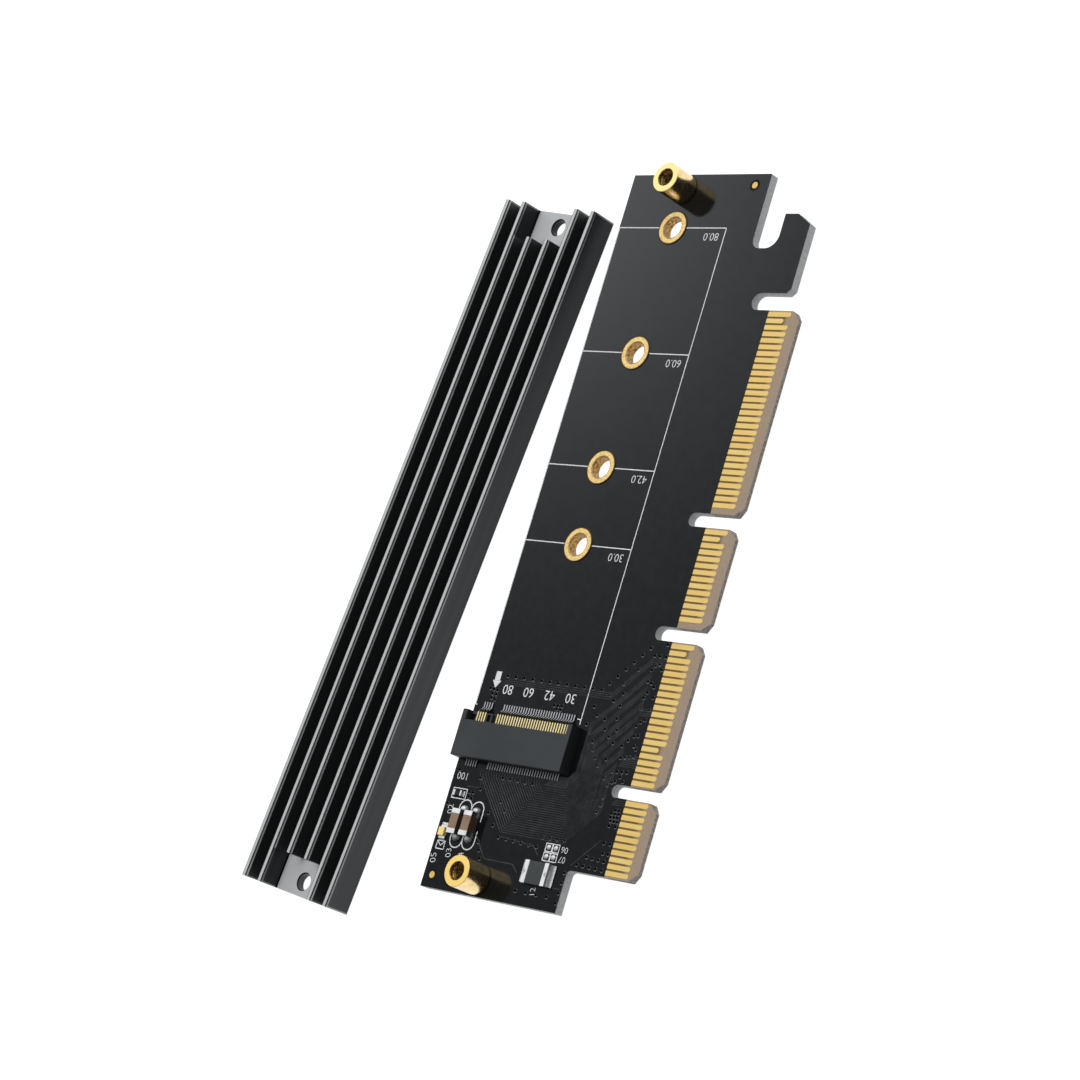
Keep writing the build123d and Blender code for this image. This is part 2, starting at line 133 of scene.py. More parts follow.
class Wire:
    """An output of a node; arithmetic on it adds the Math nodes."""

    def __init__(self, nodes, socket):
        self.nodes = nodes
        self.socket = socket

    def maths(self, operation, *values):
        return self.nodes.node("ShaderNodeMath", {"operation": operation}, dict(enumerate(values)))

    def __add__(self, other):
        return self.maths("ADD", self, other)

    __radd__ = __add__

    def __sub__(self, other):
        return self.maths("SUBTRACT", self, other)

    def __rsub__(self, other):
        return self.maths("SUBTRACT", other, self)

    def __mul__(self, other):
        return self.maths("MULTIPLY", self, other)

    __rmul__ = __mul__

    def __truediv__(self, other):
        return self.maths("DIVIDE", self, other)

    def __pow__(self, other):
        return self.maths("POWER", self, other)

    def __gt__(self, other):
        return self.maths("GREATER_THAN", self, other)

    def __lt__(self, other):
        return self.maths("LESS_THAN", self, other)

    def __abs__(self):
        return self.maths("ABSOLUTE", self)

    def between(self, low, high, soft=0.0):
        """1 between two values and 0 outside, with a soft rim."""
        if not soft:
            return (self > low) * (self < high)
        return self.ramp(low - soft, low) * (1 - self.ramp(high, high + soft))

    def ramp(self, start, end, first=0.0, last=1.0):
        """Runs from first to last while the value goes from start to end."""
        values = {"Value": self, "From Min": start, "From Max": end, "To Min": first, "To Max": last}
        return self.nodes.node("ShaderNodeMapRange", {"clamp": True}, values)


class Nodes:
    """A node tree with one call that adds and wires any node."""

    def __init__(self, tree):
        self.tree = tree

    def join(self, value, socket):
        if isinstance(value, Wire):
            self.tree.links.new(value.socket, socket)
        else:
            socket.default_value = value

    def node(self, kind, settings=None, values=None, output=0):
        """Adds a node: its settings first, then the values or links of its sockets."""
        made = self.tree.nodes.new(kind)
        for label, setting in (settings or {}).items():
            setattr(made, label, setting)
        for label, value in (values or {}).items():
            self.join(value, made.inputs[label])
        return Wire(self, made.outputs[output])


class Finish(Nodes):
    """One material: a Principled shader and short calls for the nodes that vary it."""

    def __init__(self, name, color, roughness, metallic=0.0, **constants):
        self.material = bpy.data.materials.new(name)
        self.material.use_nodes = True
        super().__init__(self.material.node_tree)
        self.shader = self.tree.nodes["Principled BSDF"]
        self.feed("Base Color", color)
        self.feed("Roughness", roughness)
        self.feed("Metallic", metallic)
        for label, value in constants.items():
            self.feed(label.replace("_", " "), value)

    def feed(self, label, value):
        """Sets or links one socket of the shader."""
        self.join(value, self.shader.inputs[label])

    def place(self):
        return self.node("ShaderNodeTexCoord", output="Object")

    def axes(self, vector=None):
        """X, Y and Z of a vector, the object's own place if none is given."""
        whole = vector or self.place()
        return [self.node("ShaderNodeSeparateXYZ", None, {"Vector": whole}, output=i) for i in range(3)]

    def facing(self):
        """X, Y and Z of the outward direction of the surface."""
        return self.axes(self.node("ShaderNodeNewGeometry", output="Normal"))

    def upward(self, start, end):
        """Runs from 0 to 1 as the surface turns from a wall to a top."""
        return self.facing()[2].ramp(start, end)

    def flank(self):
        """1 on the narrow sides of the socket's contacts, where shade is painted."""
        return abs(self.facing()[0]).ramp(0.5, 0.8)

    def turned(self, angle, middle=(0, 0, 0), stretch=(1, 1, 1)):
        """Object coordinates about a middle, turned back by an angle and stretched."""
        values = {"Vector": self.place(), "Location": middle, "Rotation": (0, 0, angle)}
        straight = self.node("ShaderNodeMapping", {"vector_type": "TEXTURE"}, values)
        values = {"Vector": straight, "Scale": stretch}
        return self.node("ShaderNodeMapping", {"vector_type": "POINT"}, values)

    def away(self, centre):
        """Distance from a point."""
        values = {0: self.place(), 1: centre}
        return self.node("ShaderNodeVectorMath", {"operation": "DISTANCE"}, values, output="Value")

    def patches(self, centres, radius):
        """1 within a radius of any of the centres."""
        covered = 0.0
        for centre in centres:
            covered = (self.away(centre) < radius) + covered
        return covered

    def around(self, centre):
        """Distance from an upright axis."""
        x, y = self.axes()[:2]
        return ((x - centre.x) ** 2 + (y - centre.y) ** 2) ** 0.5

    def noise(self, scale, detail=3.0, vector=None):
        values = {"Vector": vector or self.place(), "Scale": scale, "Detail": detail}
        return self.node("ShaderNodeTexNoise", {"noise_dimensions": "3D"}, values)

    def mix(self, factor, first, second):
        """A colour between two colours."""
        return self.node("ShaderNodeMix", {"data_type": "RGBA"}, {0: factor, 6: first, 7: second}, output=2)

    def paint(self, factor, first, second):
        """Base colour between two colours."""
        self.feed("Base Color", self.mix(factor, first, second))

    def rough(self, noise, low, high):
        """Roughness that follows a noise between two values."""
        self.feed("Roughness", noise.ramp(0.3, 0.7, low, high))

    def bump(self, height, distance, strength=1.0):
        values = {"Strength": strength, "Distance": distance, "Height": height}
        self.feed("Normal", self.node("ShaderNodeBump", None, values))


def laminate_color(finish, x, y, weave):
    """Bare glass cloth of the tongue, with painted shade between the contacts."""
    tip = x.ramp(-2.6 * MM, -1.9 * MM)
    # Painted shade: between the contact rows, short of the tip, the laminate is painted darker and its
    # weave darker still.
    between = 0.0
    for low, high in contact_blocks():
        between = y.between(low, high) + between
    between = between * (1 - tip)
    laminate = finish.mix(between, srgb(150, 132, 113), srgb(108, 88, 56))
    cloth = weave.ramp(0.35, 0.65, 0.0, 0.5) * (0.25 + 0.75 * between)
    return finish.mix(cloth, laminate, srgb(84, 68, 40))


def cut_edge_color(finish, x, y, z, weave):
    """Glass cloth in layers on the cut edges, browner round the tongue, below the coating's rim."""
    layers = finish.node(
        "ShaderNodeTexWave",
        {"wave_type": "BANDS", "bands_direction": "Z"},
        {"Vector": finish.place(), "Scale": 1400, "Distortion": 3.0, "Detail": 2.0},
    )
    edge = finish.mix(layers.ramp(0.2, 0.8), srgb(176, 178, 180), srgb(150, 151, 153))
    edge = finish.mix(weave.ramp(0.4, 0.7, 0.0, 0.5), edge, srgb(122, 123, 124))
    edge = finish.mix(z.ramp(BOARD_TOP - 0.2 * MM, BOARD_TOP - 0.12 * MM), edge, srgb(34, 34, 34))
    brown = finish.mix(weave.ramp(0.4, 0.6), srgb(136, 132, 130), srgb(96, 90, 84))
    tongue = (x > COAT_EDGE) * y.between(TONGUE_START - MM, TONGUE_END + 0.5 * MM)
    return finish.mix(tongue, edge, brown)


def coating_finish(settings):
    """Board: glossy dark coating, bare tongue, cut edges, rings on the back, matt round the dots."""
    finish = Finish("board_coating", rgb(settings.coating_color), 0.12)
    x, y, z = finish.axes()
    mottle = finish.noise(900, 2)
    weave = finish.noise(2600, 3)
    cut = abs(finish.facing()[2]) < 0.5
    face = 1 - cut
    bare = (x > COAT_EDGE - 0.01 * MM) * y.between(TONGUE_START, TONGUE_END) * face
    holes = [(MODULE_LINE, ring_y(length) * MM, 0.0) for length in RING_LENGTHS]
    back_ring = finish.patches(holes, 2.75 * MM) * (z < 0.2 * MM) * face
    low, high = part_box("fiducial_dots")
    inset = 0.52 * MM
    dots = ((high.x - inset, high.y - inset, BOARD_TOP), (low.x + inset, low.y + inset, BOARD_TOP))
    opening = finish.patches(dots, 0.92 * MM) * face
    color = finish.mix(mottle.ramp(0.35, 0.65), rgb(settings.coating_color), srgb(15, 16, 17))
    color = finish.mix(bare, color, laminate_color(finish, x, y, weave))
    color = finish.mix(cut, color, cut_edge_color(finish, x, y, z, weave))
    color = finish.mix(back_ring, color, rgb(settings.gold_color))
    finish.paint(opening, color, srgb(8, 8, 8))
    finish.feed("Metallic", back_ring)
    matt = 0.5 * bare + 0.55 * cut + 0.1 * back_ring + 0.6 * opening
    finish.feed("Roughness", mottle.ramp(0.3, 0.7, 0.09, 0.13) + matt)
    finish.bump(weave * (bare + cut * 0.6) + mottle * 0.03, 0.02 * MM, 0.5)
    return finish.material


def contact_finish(settings):
    """Hard gold plate on the contact fingers, worn a little along their length."""
    finish = Finish("contact_gold", rgb(settings.gold_color), 0.5, 0.48)
    rub = finish.noise(500, 4, finish.turned(0, stretch=(0.2, 3, 1)))
    finish.paint(rub.ramp(0.35, 0.7), rgb(settings.gold_color), srgb(255, 224, 144))
    finish.rough(rub, 0.45, 0.6)
    finish.bump(rub, 0.01 * MM, 0.3)
    return finish.material


def spring_finish():
    """Socket's lower contacts: gold in the mouth, painted shade at the bend and on the flanks, tinned
    tails.
    """
    finish = Finish("contact_beams", srgb(255, 236, 170), 0.35, 0.3)
    out = finish.axes()[1] - SOCKET_MOUTH
    tail = out.ramp(0.5 * MM, 0.6 * MM)
    bend = out.between(0.1 * MM, 0.55 * MM, 0.05 * MM)
    cloud = finish.noise(700, 4)
    gold = finish.mix(cloud.ramp(0.5, 0.8), srgb(255, 236, 170), srgb(236, 204, 130))
    tin = finish.mix(cloud.ramp(0.5, 0.8), srgb(176, 178, 182), srgb(138, 140, 146))
    # Painted shade: the stretch that slopes down to the tails is painted dark brown, and the narrow sides
    # darker still.
    color = finish.mix(bend, finish.mix(tail, gold, tin), srgb(60, 52, 38))
    finish.paint(finish.flank(), color, srgb(52, 44, 30))
    finish.rough(cloud, 0.28, 0.42)
    return finish.material


def tail_finish():
    """Tinned tails behind the socket, with painted shade on their flanks."""
    finish = Finish("contact_tails", srgb(166, 168, 172), 0.35, 0.7)
    cloud = finish.noise(700, 4)
    tin = finish.mix(cloud.ramp(0.5, 0.8), srgb(172, 174, 178), srgb(132, 134, 140))
    # Painted shade on the narrow sides of the tails.
    finish.paint(finish.flank(), tin, srgb(34, 34, 36))
    finish.rough(cloud, 0.3, 0.45)
    return finish.material


def plated_finish(name, color, roughness, grain=700, metallic=1.0, shade=0.0):
    """Plated or tinned metal, uneven; with a share of painted shade, darker where it faces -Y, and pale on
    top.
    """
    finish = Finish(name, color, roughness, metallic)
    cloud = finish.noise(grain, 4)
    tint = (color[0] * 0.72, color[1] * 0.7, color[2] * 0.66, 1.0)
    sheen = finish.mix(cloud.ramp(0.5, 0.8), color, tint)
    if shade:
        facing = finish.facing()
        # Painted shade: where the surface faces -Y it is painted darker by the share.
        sheen = finish.mix(facing[1].ramp(-0.5, 0.3), dimmed(color, 1 - shade), sheen)
        finish.feed("Metallic", facing[2].ramp(0.45, 0.9, metallic, 0.2))
    finish.feed("Base Color", sheen)
    finish.rough(cloud, roughness, roughness + 0.14)
    finish.bump(cloud, 0.02 * MM, 0.25)
    return finish.material


def turned_finish(node, settings):
    """Brass post: bright speckled sides, a faced end painted paler as light, a dull threaded bore with
    painted shade, and painted shade at its foot.
    """
    finish = Finish(node + "_brass", rgb(settings.brass_color), 0.15, 1.0)
    bore = finish.around(upright_axis(*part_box(node))).ramp(1.38 * MM, 1.42 * MM, 1.0, 0.0)
    faced = finish.upward(0.5, 0.9) * (1 - bore)
    speckle = finish.noise(3600, 2)
    cloud = finish.noise(600, 3)
    side = finish.mix(cloud.ramp(0.45, 0.75), rgb(settings.brass_color), srgb(200, 173, 120))
    # Painted shade in the bore: a dark speckle over the threads.
    bore_shade = finish.mix(speckle.ramp(0.4, 0.6), srgb(66, 48, 24), srgb(204, 160, 88))
    # Painted light: the faced end is paler and less metallic, the far post's paler than the near post's.
    top = srgb(255, 218, 124) if node.endswith("near") else srgb(255, 238, 160)
    color = finish.mix(bore, finish.mix(faced, side, top), bore_shade)
    # Painted shade: a dark brown band at the foot, where the post meets the board.
    foot = finish.axes()[2].ramp(BOARD_TOP, BOARD_TOP + 0.3 * MM)
    finish.paint(foot, srgb(110, 84, 40), color)
    finish.feed("Metallic", 1.0 - 0.8 * faced - 0.3 * bore)
    finish.feed("Roughness", speckle.ramp(0.3, 0.7, 0.18, 0.28) + 0.15 * faced + 0.15 * bore)
    finish.bump(speckle * (1 - faced), 0.006 * MM, 0.5)
    return finish.material


def ring_finish(length):
    """Plated ring: edges painted dark as shade, speckled gold between them, and a barrel painted brown as
    shade.
    """
    finish = Finish(f"ring_gold_{length}", srgb(240, 204, 128), 0.32, 0.6)
    low, high = RING_BOXES[length]
    radius = finish.around(upright_axis(low, high))
    outer = (high.x - low.x) / 2
    # Painted shade: the outer edge and a ring at the lip of the bore are painted dark brown.
    mouth = radius.between(1.72 * MM, 1.82 * MM, 0.04 * MM)
    rim = radius.ramp(outer - 0.24 * MM, outer - 0.16 * MM) + mouth * 0.6
    bore = radius.ramp(1.66 * MM, 1.7 * MM, 1.0, 0.0)
    lines = finish.noise(3000, 3)
    gold = finish.mix(lines.ramp(0.45, 0.65), srgb(252, 218, 144), srgb(220, 178, 102))
    # Painted shade: the barrel inside the hole is painted brown.
    barrel = finish.mix(lines.ramp(0.35, 0.65), srgb(190, 150, 88), srgb(96, 70, 36))
    flange = finish.mix(rim, gold, srgb(60, 42, 20))
    finish.paint(bore, flange, barrel)
    finish.feed("Metallic", 0.3 + 0.6 * bore)
    finish.rough(lines, 0.26, 0.4)
    finish.bump(lines, 0.02 * MM, 0.4)
    return finish.material


def tin_finish():
    """Tinned end caps, whitest on top, their sides painted a darker grey as shade."""
    finish = Finish("tinned_ends", srgb(236, 237, 238), 0.35, 0.5)
    up = finish.upward(0.3, 0.9)
    cloud = finish.noise(700, 4)
    bright = finish.mix(cloud.ramp(0.4, 0.8), srgb(238, 239, 240), srgb(204, 205, 206))
    # Painted shade: the sides are a darker grey than the tops, and more metallic.
    finish.paint(up, srgb(150, 151, 153), bright)
    finish.feed("Metallic", 0.95 - 0.75 * up)
    finish.rough(cloud, 0.25, 0.4)
    finish.bump(cloud, 0.01 * MM, 0.3)
    return finish.material


def moulded_finish(name, color, roughness, side=1.0):
    """Moulded plastic with a fine spark-eroded grain, its side walls painted darker by a share, as shade.
    """
    finish = Finish(name, color, roughness)
    cloud = finish.noise(200, 3)
    top = finish.mix(cloud.ramp(0.4, 0.7), color, dimmed(color, 1.25))
    # Painted shade: the side walls darkened by the share.
    finish.paint(finish.upward(0.3, 0.7), dimmed(color, side), top)
    finish.rough(cloud, roughness - 0.05, roughness + 0.07)
    finish.bump(finish.noise(2500, 2), 0.01 * MM, 0.35)
    return finish.material


def ceramic_finish():
    """Fired ceramic of the chip capacitors, with a soft mottle and sides painted darker as shade."""
    finish = Finish("capacitor_ceramic", srgb(120, 101, 84), 0.5)
    grains = finish.noise(3200, 4)
    cloud = finish.noise(700, 3)
    color = finish.mix(grains.ramp(0.35, 0.7), srgb(136, 112, 90), srgb(118, 97, 78))
    color = finish.mix(cloud.ramp(0.4, 0.7), color, srgb(134, 114, 96))
    # Painted shade: the sides a dark brown.
    finish.paint(finish.upward(0.3, 0.7), srgb(78, 62, 48), color)
    finish.rough(grains, 0.42, 0.58)
    finish.bump(grains, 0.01 * MM, 0.4)
    return finish.material


def lens_finish():
    """Amber resin of the indicator lamp."""
    finish = Finish("lamp_lens", srgb(240, 214, 140), 0.22)
    cloud = finish.noise(1500, 2)
    finish.paint(cloud, srgb(246, 222, 152), srgb(230, 198, 116))
    finish.feed("Coat Weight", 0.4)
    return finish.material


def cover_finish(settings):
    """Anodised extrusion: die lines along its length; fin tips, a band under them and the pocket floors
    painted pale as light; painted shade on the eased edges, the channels' floors and towards the far end;
    milled pockets and ends.
    """
    finish = Finish("cover_anodised", rgb(settings.cover_color), 0.4, 0.85)
    along = finish.turned(COVER_TURN, tuple(COVER_MIDDLE), (1, 0.02, 1))
    lines = finish.noise(2400, 3, along)
    broad = finish.noise(260, 3, along)
    across, length = finish.axes(finish.turned(COVER_TURN, tuple(COVER_MIDDLE)))[:2]
    depth = COVER_HIGH.z - finish.axes()[2]
    up = finish.facing()[2]
    flat = up.ramp(0.97, 0.99)
    wall = finish.mix(broad.ramp(0.35, 0.7), rgb(settings.cover_color), srgb(66, 68, 70))
    # Painted shade: the outer walls darken towards the +Y end.
    wall = finish.mix(length.ramp(-20 * MM, 45 * MM, 0.0, 0.75), wall, srgb(30, 31, 32))
    end = abs(length).ramp(COVER_HALF_LENGTH - 0.3 * MM, COVER_HALF_LENGTH - 0.12 * MM)
    milled = COVER_HALF_LENGTH - 5.5 * MM
    pocket = abs(length).ramp(milled - 0.1 * MM, milled + 0.1 * MM) * (abs(across) < 5.8 * MM)
    channel = (abs(across) < COVER_HALF_WIDTH - 0.06 * MM) * (1 - pocket)
    # Painted highlight: a pale band just under the fin tips, paler inside the channels than on the outer
    # walls.
    band = depth.between(0.16 * MM, 0.42 * MM, 0.03 * MM)
    painted_sheen = finish.mix(channel, srgb(124, 125, 126), srgb(208, 209, 210))
    # Painted light: the walls inside the channels a flat grey, less metallic than the outer walls.
    color = finish.mix(channel, wall, srgb(60, 61, 62))
    color = finish.mix(band, color, painted_sheen)
    color = finish.mix(end * 0.7, color, srgb(150, 151, 152))
    # Painted shade: the eased faces beside the tips near black.
    color = finish.mix(up.between(0.4, 0.97), color, srgb(16, 17, 18))
    # Painted shade on the channels' floors, dark; painted light on the pocket floors, pale.
    floor = finish.mix(pocket, srgb(38, 39, 40), srgb(174, 175, 177))
    tip = depth < 0.3 * MM
    # Painted light: the fin tips pale, as the light they mirror.
    top = finish.mix(tip, floor, rgb(settings.fin_tip_color))
    finish.paint(flat, color, top)
    pale = flat * (tip + pocket) + band * channel * (1 - flat)
    # Less metallic where light is painted: on the pale tops, the band and the channel walls.
    finish.feed("Metallic", 0.85 - 0.7 * pale - 0.3 * channel * (1 - flat))
    finish.rough(lines, 0.3, 0.42)
    finish.bump(lines, 0.008 * MM, 0.4)
    return finish.material


def ink_finish(settings):
    """White board ink, slightly uneven."""
    finish = Finish("board_ink", rgb(settings.ink_color), 0.55)
    cloud = finish.noise(2500, 3)
    finish.paint(cloud.ramp(0.35, 0.7), rgb(settings.ink_color), srgb(196, 197, 198))
    finish.rough(cloud, 0.5, 0.65)
    return finish.material


def trace_finish(settings):
    """Coating where it runs over copper: lighter, and a little less glossy."""
    finish = Finish("coated_copper", rgb(settings.trace_color), 0.2)
    mottle = finish.noise(900, 2)
    finish.paint(mottle.ramp(0.35, 0.65), rgb(settings.trace_color), srgb(52, 54, 56))
    finish.rough(mottle, 0.15, 0.22)
    return finish.material


def rim_finish(settings):
    """Coated rim of a plated hole, with a painted highlight on its -Y side."""
    finish = Finish("via_rims", rgb(settings.trace_color), 0.3)
    painted_glint_side = finish.facing()[1].ramp(-0.35, -0.2, 1.0, 0.0)
    grain = finish.noise(1800, 2)
    # Painted highlight: the -Y side of each rim a lighter grey.
    bright = finish.mix(grain, srgb(128, 130, 132), srgb(88, 90, 92))
    finish.paint(painted_glint_side, rgb(settings.trace_color), bright)
    finish.rough(grain, 0.25, 0.4)
    return finish.material


def via_finish():
    """Painted shade: a near-black disc for the dark inside of a plated hole."""
    finish = Finish("via_dark", srgb(2, 2, 2), 0.8, Specular_IOR_Level=0.05)
    cloud = finish.noise(1800, 2)
    finish.paint(cloud.ramp(0.4, 0.6), srgb(2, 2, 2), srgb(9, 8, 7))
    finish.rough(cloud, 0.7, 0.9)
    return finish.material


def floor_finish(settings):
    """Pale floor, lit a little from below as on a light table."""
    glow = {"Emission_Color": (1, 1, 1, 1), "Emission_Strength": settings.floor_glow}
    return Finish("floor_paper", rgb(settings.floor_color), 0.9, **glow).material


# Pieces

def add_piece(name, mesh, material, replaced=(), sharp=35):
    """Links a finished mesh as a piece of the object, riding on its one body."""
    mesh.materials.clear()
    mesh.materials.append(material)
    for polygon in mesh.polygons:
        polygon.use_smooth = True
    mesh.set_sharp_from_angle(angle=math.radians(sharp))
    piece = bpy.data.objects.new(name, mesh)
    bpy.context.scene.collection.objects.link(piece)
    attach(piece, "root")
    if replaced:
        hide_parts(*replaced)
    return piece


def mesh_from(bm, name):
    """Turns a bmesh into a mesh with clean normals."""
    bmesh.ops.recalc_face_normals(bm, faces=bm.faces)
    mesh = bpy.data.meshes.new(name)
    bm.to_mesh(mesh)
    bm.free()
    return mesh


def mesh_of_curve(curve, name):
    """Makes a curve or text a mesh."""
    holder = bpy.data.objects.new(name, curve)
    bpy.context.scene.collection.objects.link(holder)
    bpy.context.view_layer.update()
    evaluated = holder.evaluated_get(bpy.context.evaluated_depsgraph_get())
    mesh = bpy.data.meshes.new_from_object(evaluated)
    bpy.data.objects.remove(holder)
    return mesh


def drawn_lines(name, routes, width, rise):
    """Low rounded lines along routes on the board, each a list of (x, y); all in millimetres."""
    curve = bpy.data.curves.new(name, "CURVE")
    curve.dimensions = "3D"
    curve.bevel_depth = width * MM / 2
    curve.bevel_resolution = 1
    curve.use_fill_caps = True
    for route in routes:
        line = curve.splines.new("POLY")
        line.points.add(len(route) - 1)
        for point, (x, y) in zip(line.points, route):
            point.co = (MODULE_LINE + x * MM, y * MM, 0, 1)
    mesh = mesh_of_curve(curve, name)
    flat = Matrix.Diagonal((1, 1, 2 * rise / width, 1))
    mesh.transform(Matrix.Translation((0, 0, BOARD_TOP)) @ flat)
    return mesh


def spun(bm, profile, centre, steps, turns=1, climb=0.0):
    """Spins a closed profile of (radius, height) in millimetres about an upright axis."""
    verts = [bm.verts.new(centre + Vector((radius * MM, 0, height * MM))) for radius, height in profile]
    edges = [bm.edges.new((vert, verts[i - 1])) for i, vert in enumerate(verts)]
    bmesh.ops.spin(
        bm,
        geom=verts + edges,
        cent=centre,
        axis=(0, 0, 1),
        dvec=(0, 0, climb * MM / steps),
        angle=2 * math.pi * turns,
        steps=round(steps * turns),
        use_merge=not climb,
    )


def corner_arc(x, y, radius, start, end, steps):
    """Points of an arc about a centre, between two angles in degrees."""
    points = []
    for i in range(steps + 1):
        angle = math.radians(start + (end - start) * i / steps)
        points.append((x + radius * math.cos(angle), y + radius * math.sin(angle)))
    return points


def box_outline(x, y, width, height):
    """Closed outline of a rectangle about a centre."""
    left, right = x - width / 2, x + width / 2
    low, high = y - height / 2, y + height / 2
    return [(left, low), (right, low), (right, high), (left, high), (left, low)]


# Ink

# Widths of the module's lines and of the parts' outlines, and how high the ink stands
FRAME_WIDTH, OUTLINE_WIDTH, INK_RISE = 0.16, 0.18, 0.02

# How far the strokes of the figures are thinned, the parts' more than those at the socket
THIN, LESS_THIN = -0.02, -0.01

# Middle of the arrow at the socket
ARROW_PLACE = (-7.87, 13.3)

# Plain numbers beside the parts: figures, place, size in millimetres and turn in degrees
MARKS = (
    ("100", -8.9, -1.5, 1.6, 180),
    ("02", -9.4, -6.6, 1.5, 100),
    ("03", -7.2, -12.9, 1.5, 100),
    ("04", -4.6, -13.2, 1.5, 100),
    ("05", -9.9, -14.0, 1.6, 100),
    ("06", 14.6, -9.45, 1.35, 180),
    ("07", 14.6, -10.85, 1.35, 180),
    ("12", 11.0, -16.1, 1.4, 100),
)


def ink_frame_routes(settings):
    """Lines that mark a module's width and its length at each hole."""
    line_x = settings.ink_line_x / MM
    left = CARD_LEFT + 0.1
    ring_gap = 2.75
    mouth = SOCKET_MOUTH / MM
    top = ring_y(80)
    routes = [
        [(line_x, mouth + 0.5), (line_x, top)],
        [(left, mouth + 1.3), (left, top)],
        [(line_x - 0.7, mouth + 1.3), (line_x, mouth + 1.25)],
        [(left, mouth + 1.3), (left + 0.4, mouth + 1.3)],
    ]
    for length in RING_LENGTHS:
        y = ring_y(length)
        routes += [[(left, y), (-ring_gap, y)], [(ring_gap, y), (line_x, y)]]
    return routes


def capacitor_outlines():
    """A U round each end of the two capacitors."""
    routes = []
    radius, reach, gap = 1.22, 2.35, 0.7
    for name in ("capacitor_outer_body", "capacitor_inner_body"):
        middle = upright_axis(*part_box(name))
        x, y = (middle.x - MODULE_LINE) / MM, middle.y / MM
        for side in (1, -1):
            arc = corner_arc(x, y + side * reach, radius, 0, 180 * side, 10)
            routes.append([(x + radius, y + side * gap)] + arc + [(x - radius, y + side * gap)])
    return routes


def chip_outlines():
    """Outlines of the resistor, the lamp and the two empty footprints."""
    routes = [
        box_outline(-8.6, -4.15, 2.75, 1.5),
        [(-10.05, -9.55), (-10.05, -8.75), (-8.55, -8.75), (-8.55, -9.1)],
        box_outline(-9.3, -12.0, 1.55, 1.2),
        [(-9.95, -11.5), (-9.3, -12.1), (-8.65, -11.5)],
    ]
    for row in (-9.5, -10.85):
        for column in (11.56, 12.92):
            routes.append(box_outline(column, row, 1.24, 1.16))
    return routes


def arrow_mesh(x, y):
    """Filled arrow that points along -Y at the socket."""
    rise, thickness, radius = 0.005, 0.02, 0.95 * MM
    shaft_size, shaft_shift = (1.05, 1.4, thickness, 1), 0.55
    head_stretch, head_shift = (1.05, 0.8, 1, 1), -0.5
    bm = bmesh.new()
    shaft = Matrix.Translation(spot(x, y + shaft_shift, rise)) @ Matrix.Diagonal(shaft_size)
    bmesh.ops.create_cube(bm, size=MM, matrix=shaft)
    head = Matrix.Translation(spot(x, y + head_shift, rise)) @ Matrix.Diagonal(head_stretch)
    head = head @ Matrix.Rotation(math.pi, 4, "Z")
    bmesh.ops.create_cone(
        bm, cap_ends=True, segments=3, radius1=radius, radius2=radius, depth=thickness * MM, matrix=head
    )
    return mesh_from(bm, "arrow")


def number_mesh(text, x, y, size, turn, weight):
    """Plain figures on the board: their middle and size in millimetres, their turn in degrees."""
    curve = bpy.data.curves.new("figures", "FONT")
    curve.body = text
    curve.size = size * MM
    curve.align_x = "CENTER"
    curve.align_y = "CENTER"
    curve.extrude = 0.008 * MM
    curve.offset = weight * MM
    curve.resolution_u = 3
    mesh = mesh_of_curve(curve, "figures")
    place = Matrix.Translation(spot(x, y, 0.008)) @ Matrix.Rotation(math.radians(turn), 4, "Z")
    mesh.transform(place)
    return mesh


def number_meshes():
    """Lengths at the rings, the same lengths in a row at the socket, and the parts' numbers."""
    figures = []
    for length in RING_LENGTHS:
        figures.append(number_mesh(f"{length}.0", 8.0, ring_y(length) - 1.35, 1.75, 180, THIN))
    for i, length in enumerate(RING_LENGTHS):
        figures.append(number_mesh(str(length), 7.4 - 4.2 * i, 12.1, 2.1, 180, LESS_THIN))
    for text, x, y, size, turn in MARKS:
        figures.append(number_mesh(text, x, y, size, turn, THIN))
    return figures


def joined(meshes, name):
    """One mesh out of several."""
    bm = bmesh.new()
    for mesh in meshes:
        bm.from_mesh(mesh)
        bpy.data.meshes.remove(mesh)
    mesh = bpy.data.meshes.new(name)
    bm.to_mesh(mesh)
    bm.free()
    return mesh


# Copper under the coating

# Slanted bands of the fan, from the contact edge inwards: offset of y from x, start and end along X
FAN_BANDS = (
    (-17.7, 18.9, 19.7),
    (-16.1, 18.2, 19.6),
    (-14.2, 17.0, 20.1),
    (-12.1, 16.3, 20.9),
    (-10.15, 15.3, 21.0),
    (-8.4, 14.3, 21.2),
)

# The two bands that pass the socket's corner, in the same terms
CORNER_BANDS = ((-6.2, 13.5, 21.0), (-4.05, 12.8, 21.2))

# Spacing along Y of slanted traces, for a spacing of 1 across them
SLANT_SPACING = 1.41

# Runs across the board of the fan's first and last trace: y, left end and right end
FAN_RUNS = ((-8.6, 1.5, 13.9), (-0.9, 6.7, 11.3))

# Y at which the fan's traces leave the rear contacts, Y of their first turn, and the slope below
REAR_Y, TURN_Y, SPLAY = 0.1, -0.9, 0.93

# Heights of the traces and of the copper edges over the board, and width of the edges
TRACE_RISE, EDGE_RISE, EDGE_WIDTH = 0.04, 0.025, 0.14


def climb_and_slant(settings, band, line, spread=1.0):
    """How far out a trace climbs beside the socket, and its slanted stretch to the contacts."""
    offset, start_x, end_x = band
    aside = line - (settings.band_lines - 1) / 2
    climb = start_x - aside * settings.climb_pitch / MM * spread - 0.1
    slant = offset + aside * settings.band_pitch / MM * SLANT_SPACING
    return climb, [(climb, climb + slant), (end_x, end_x + slant)]


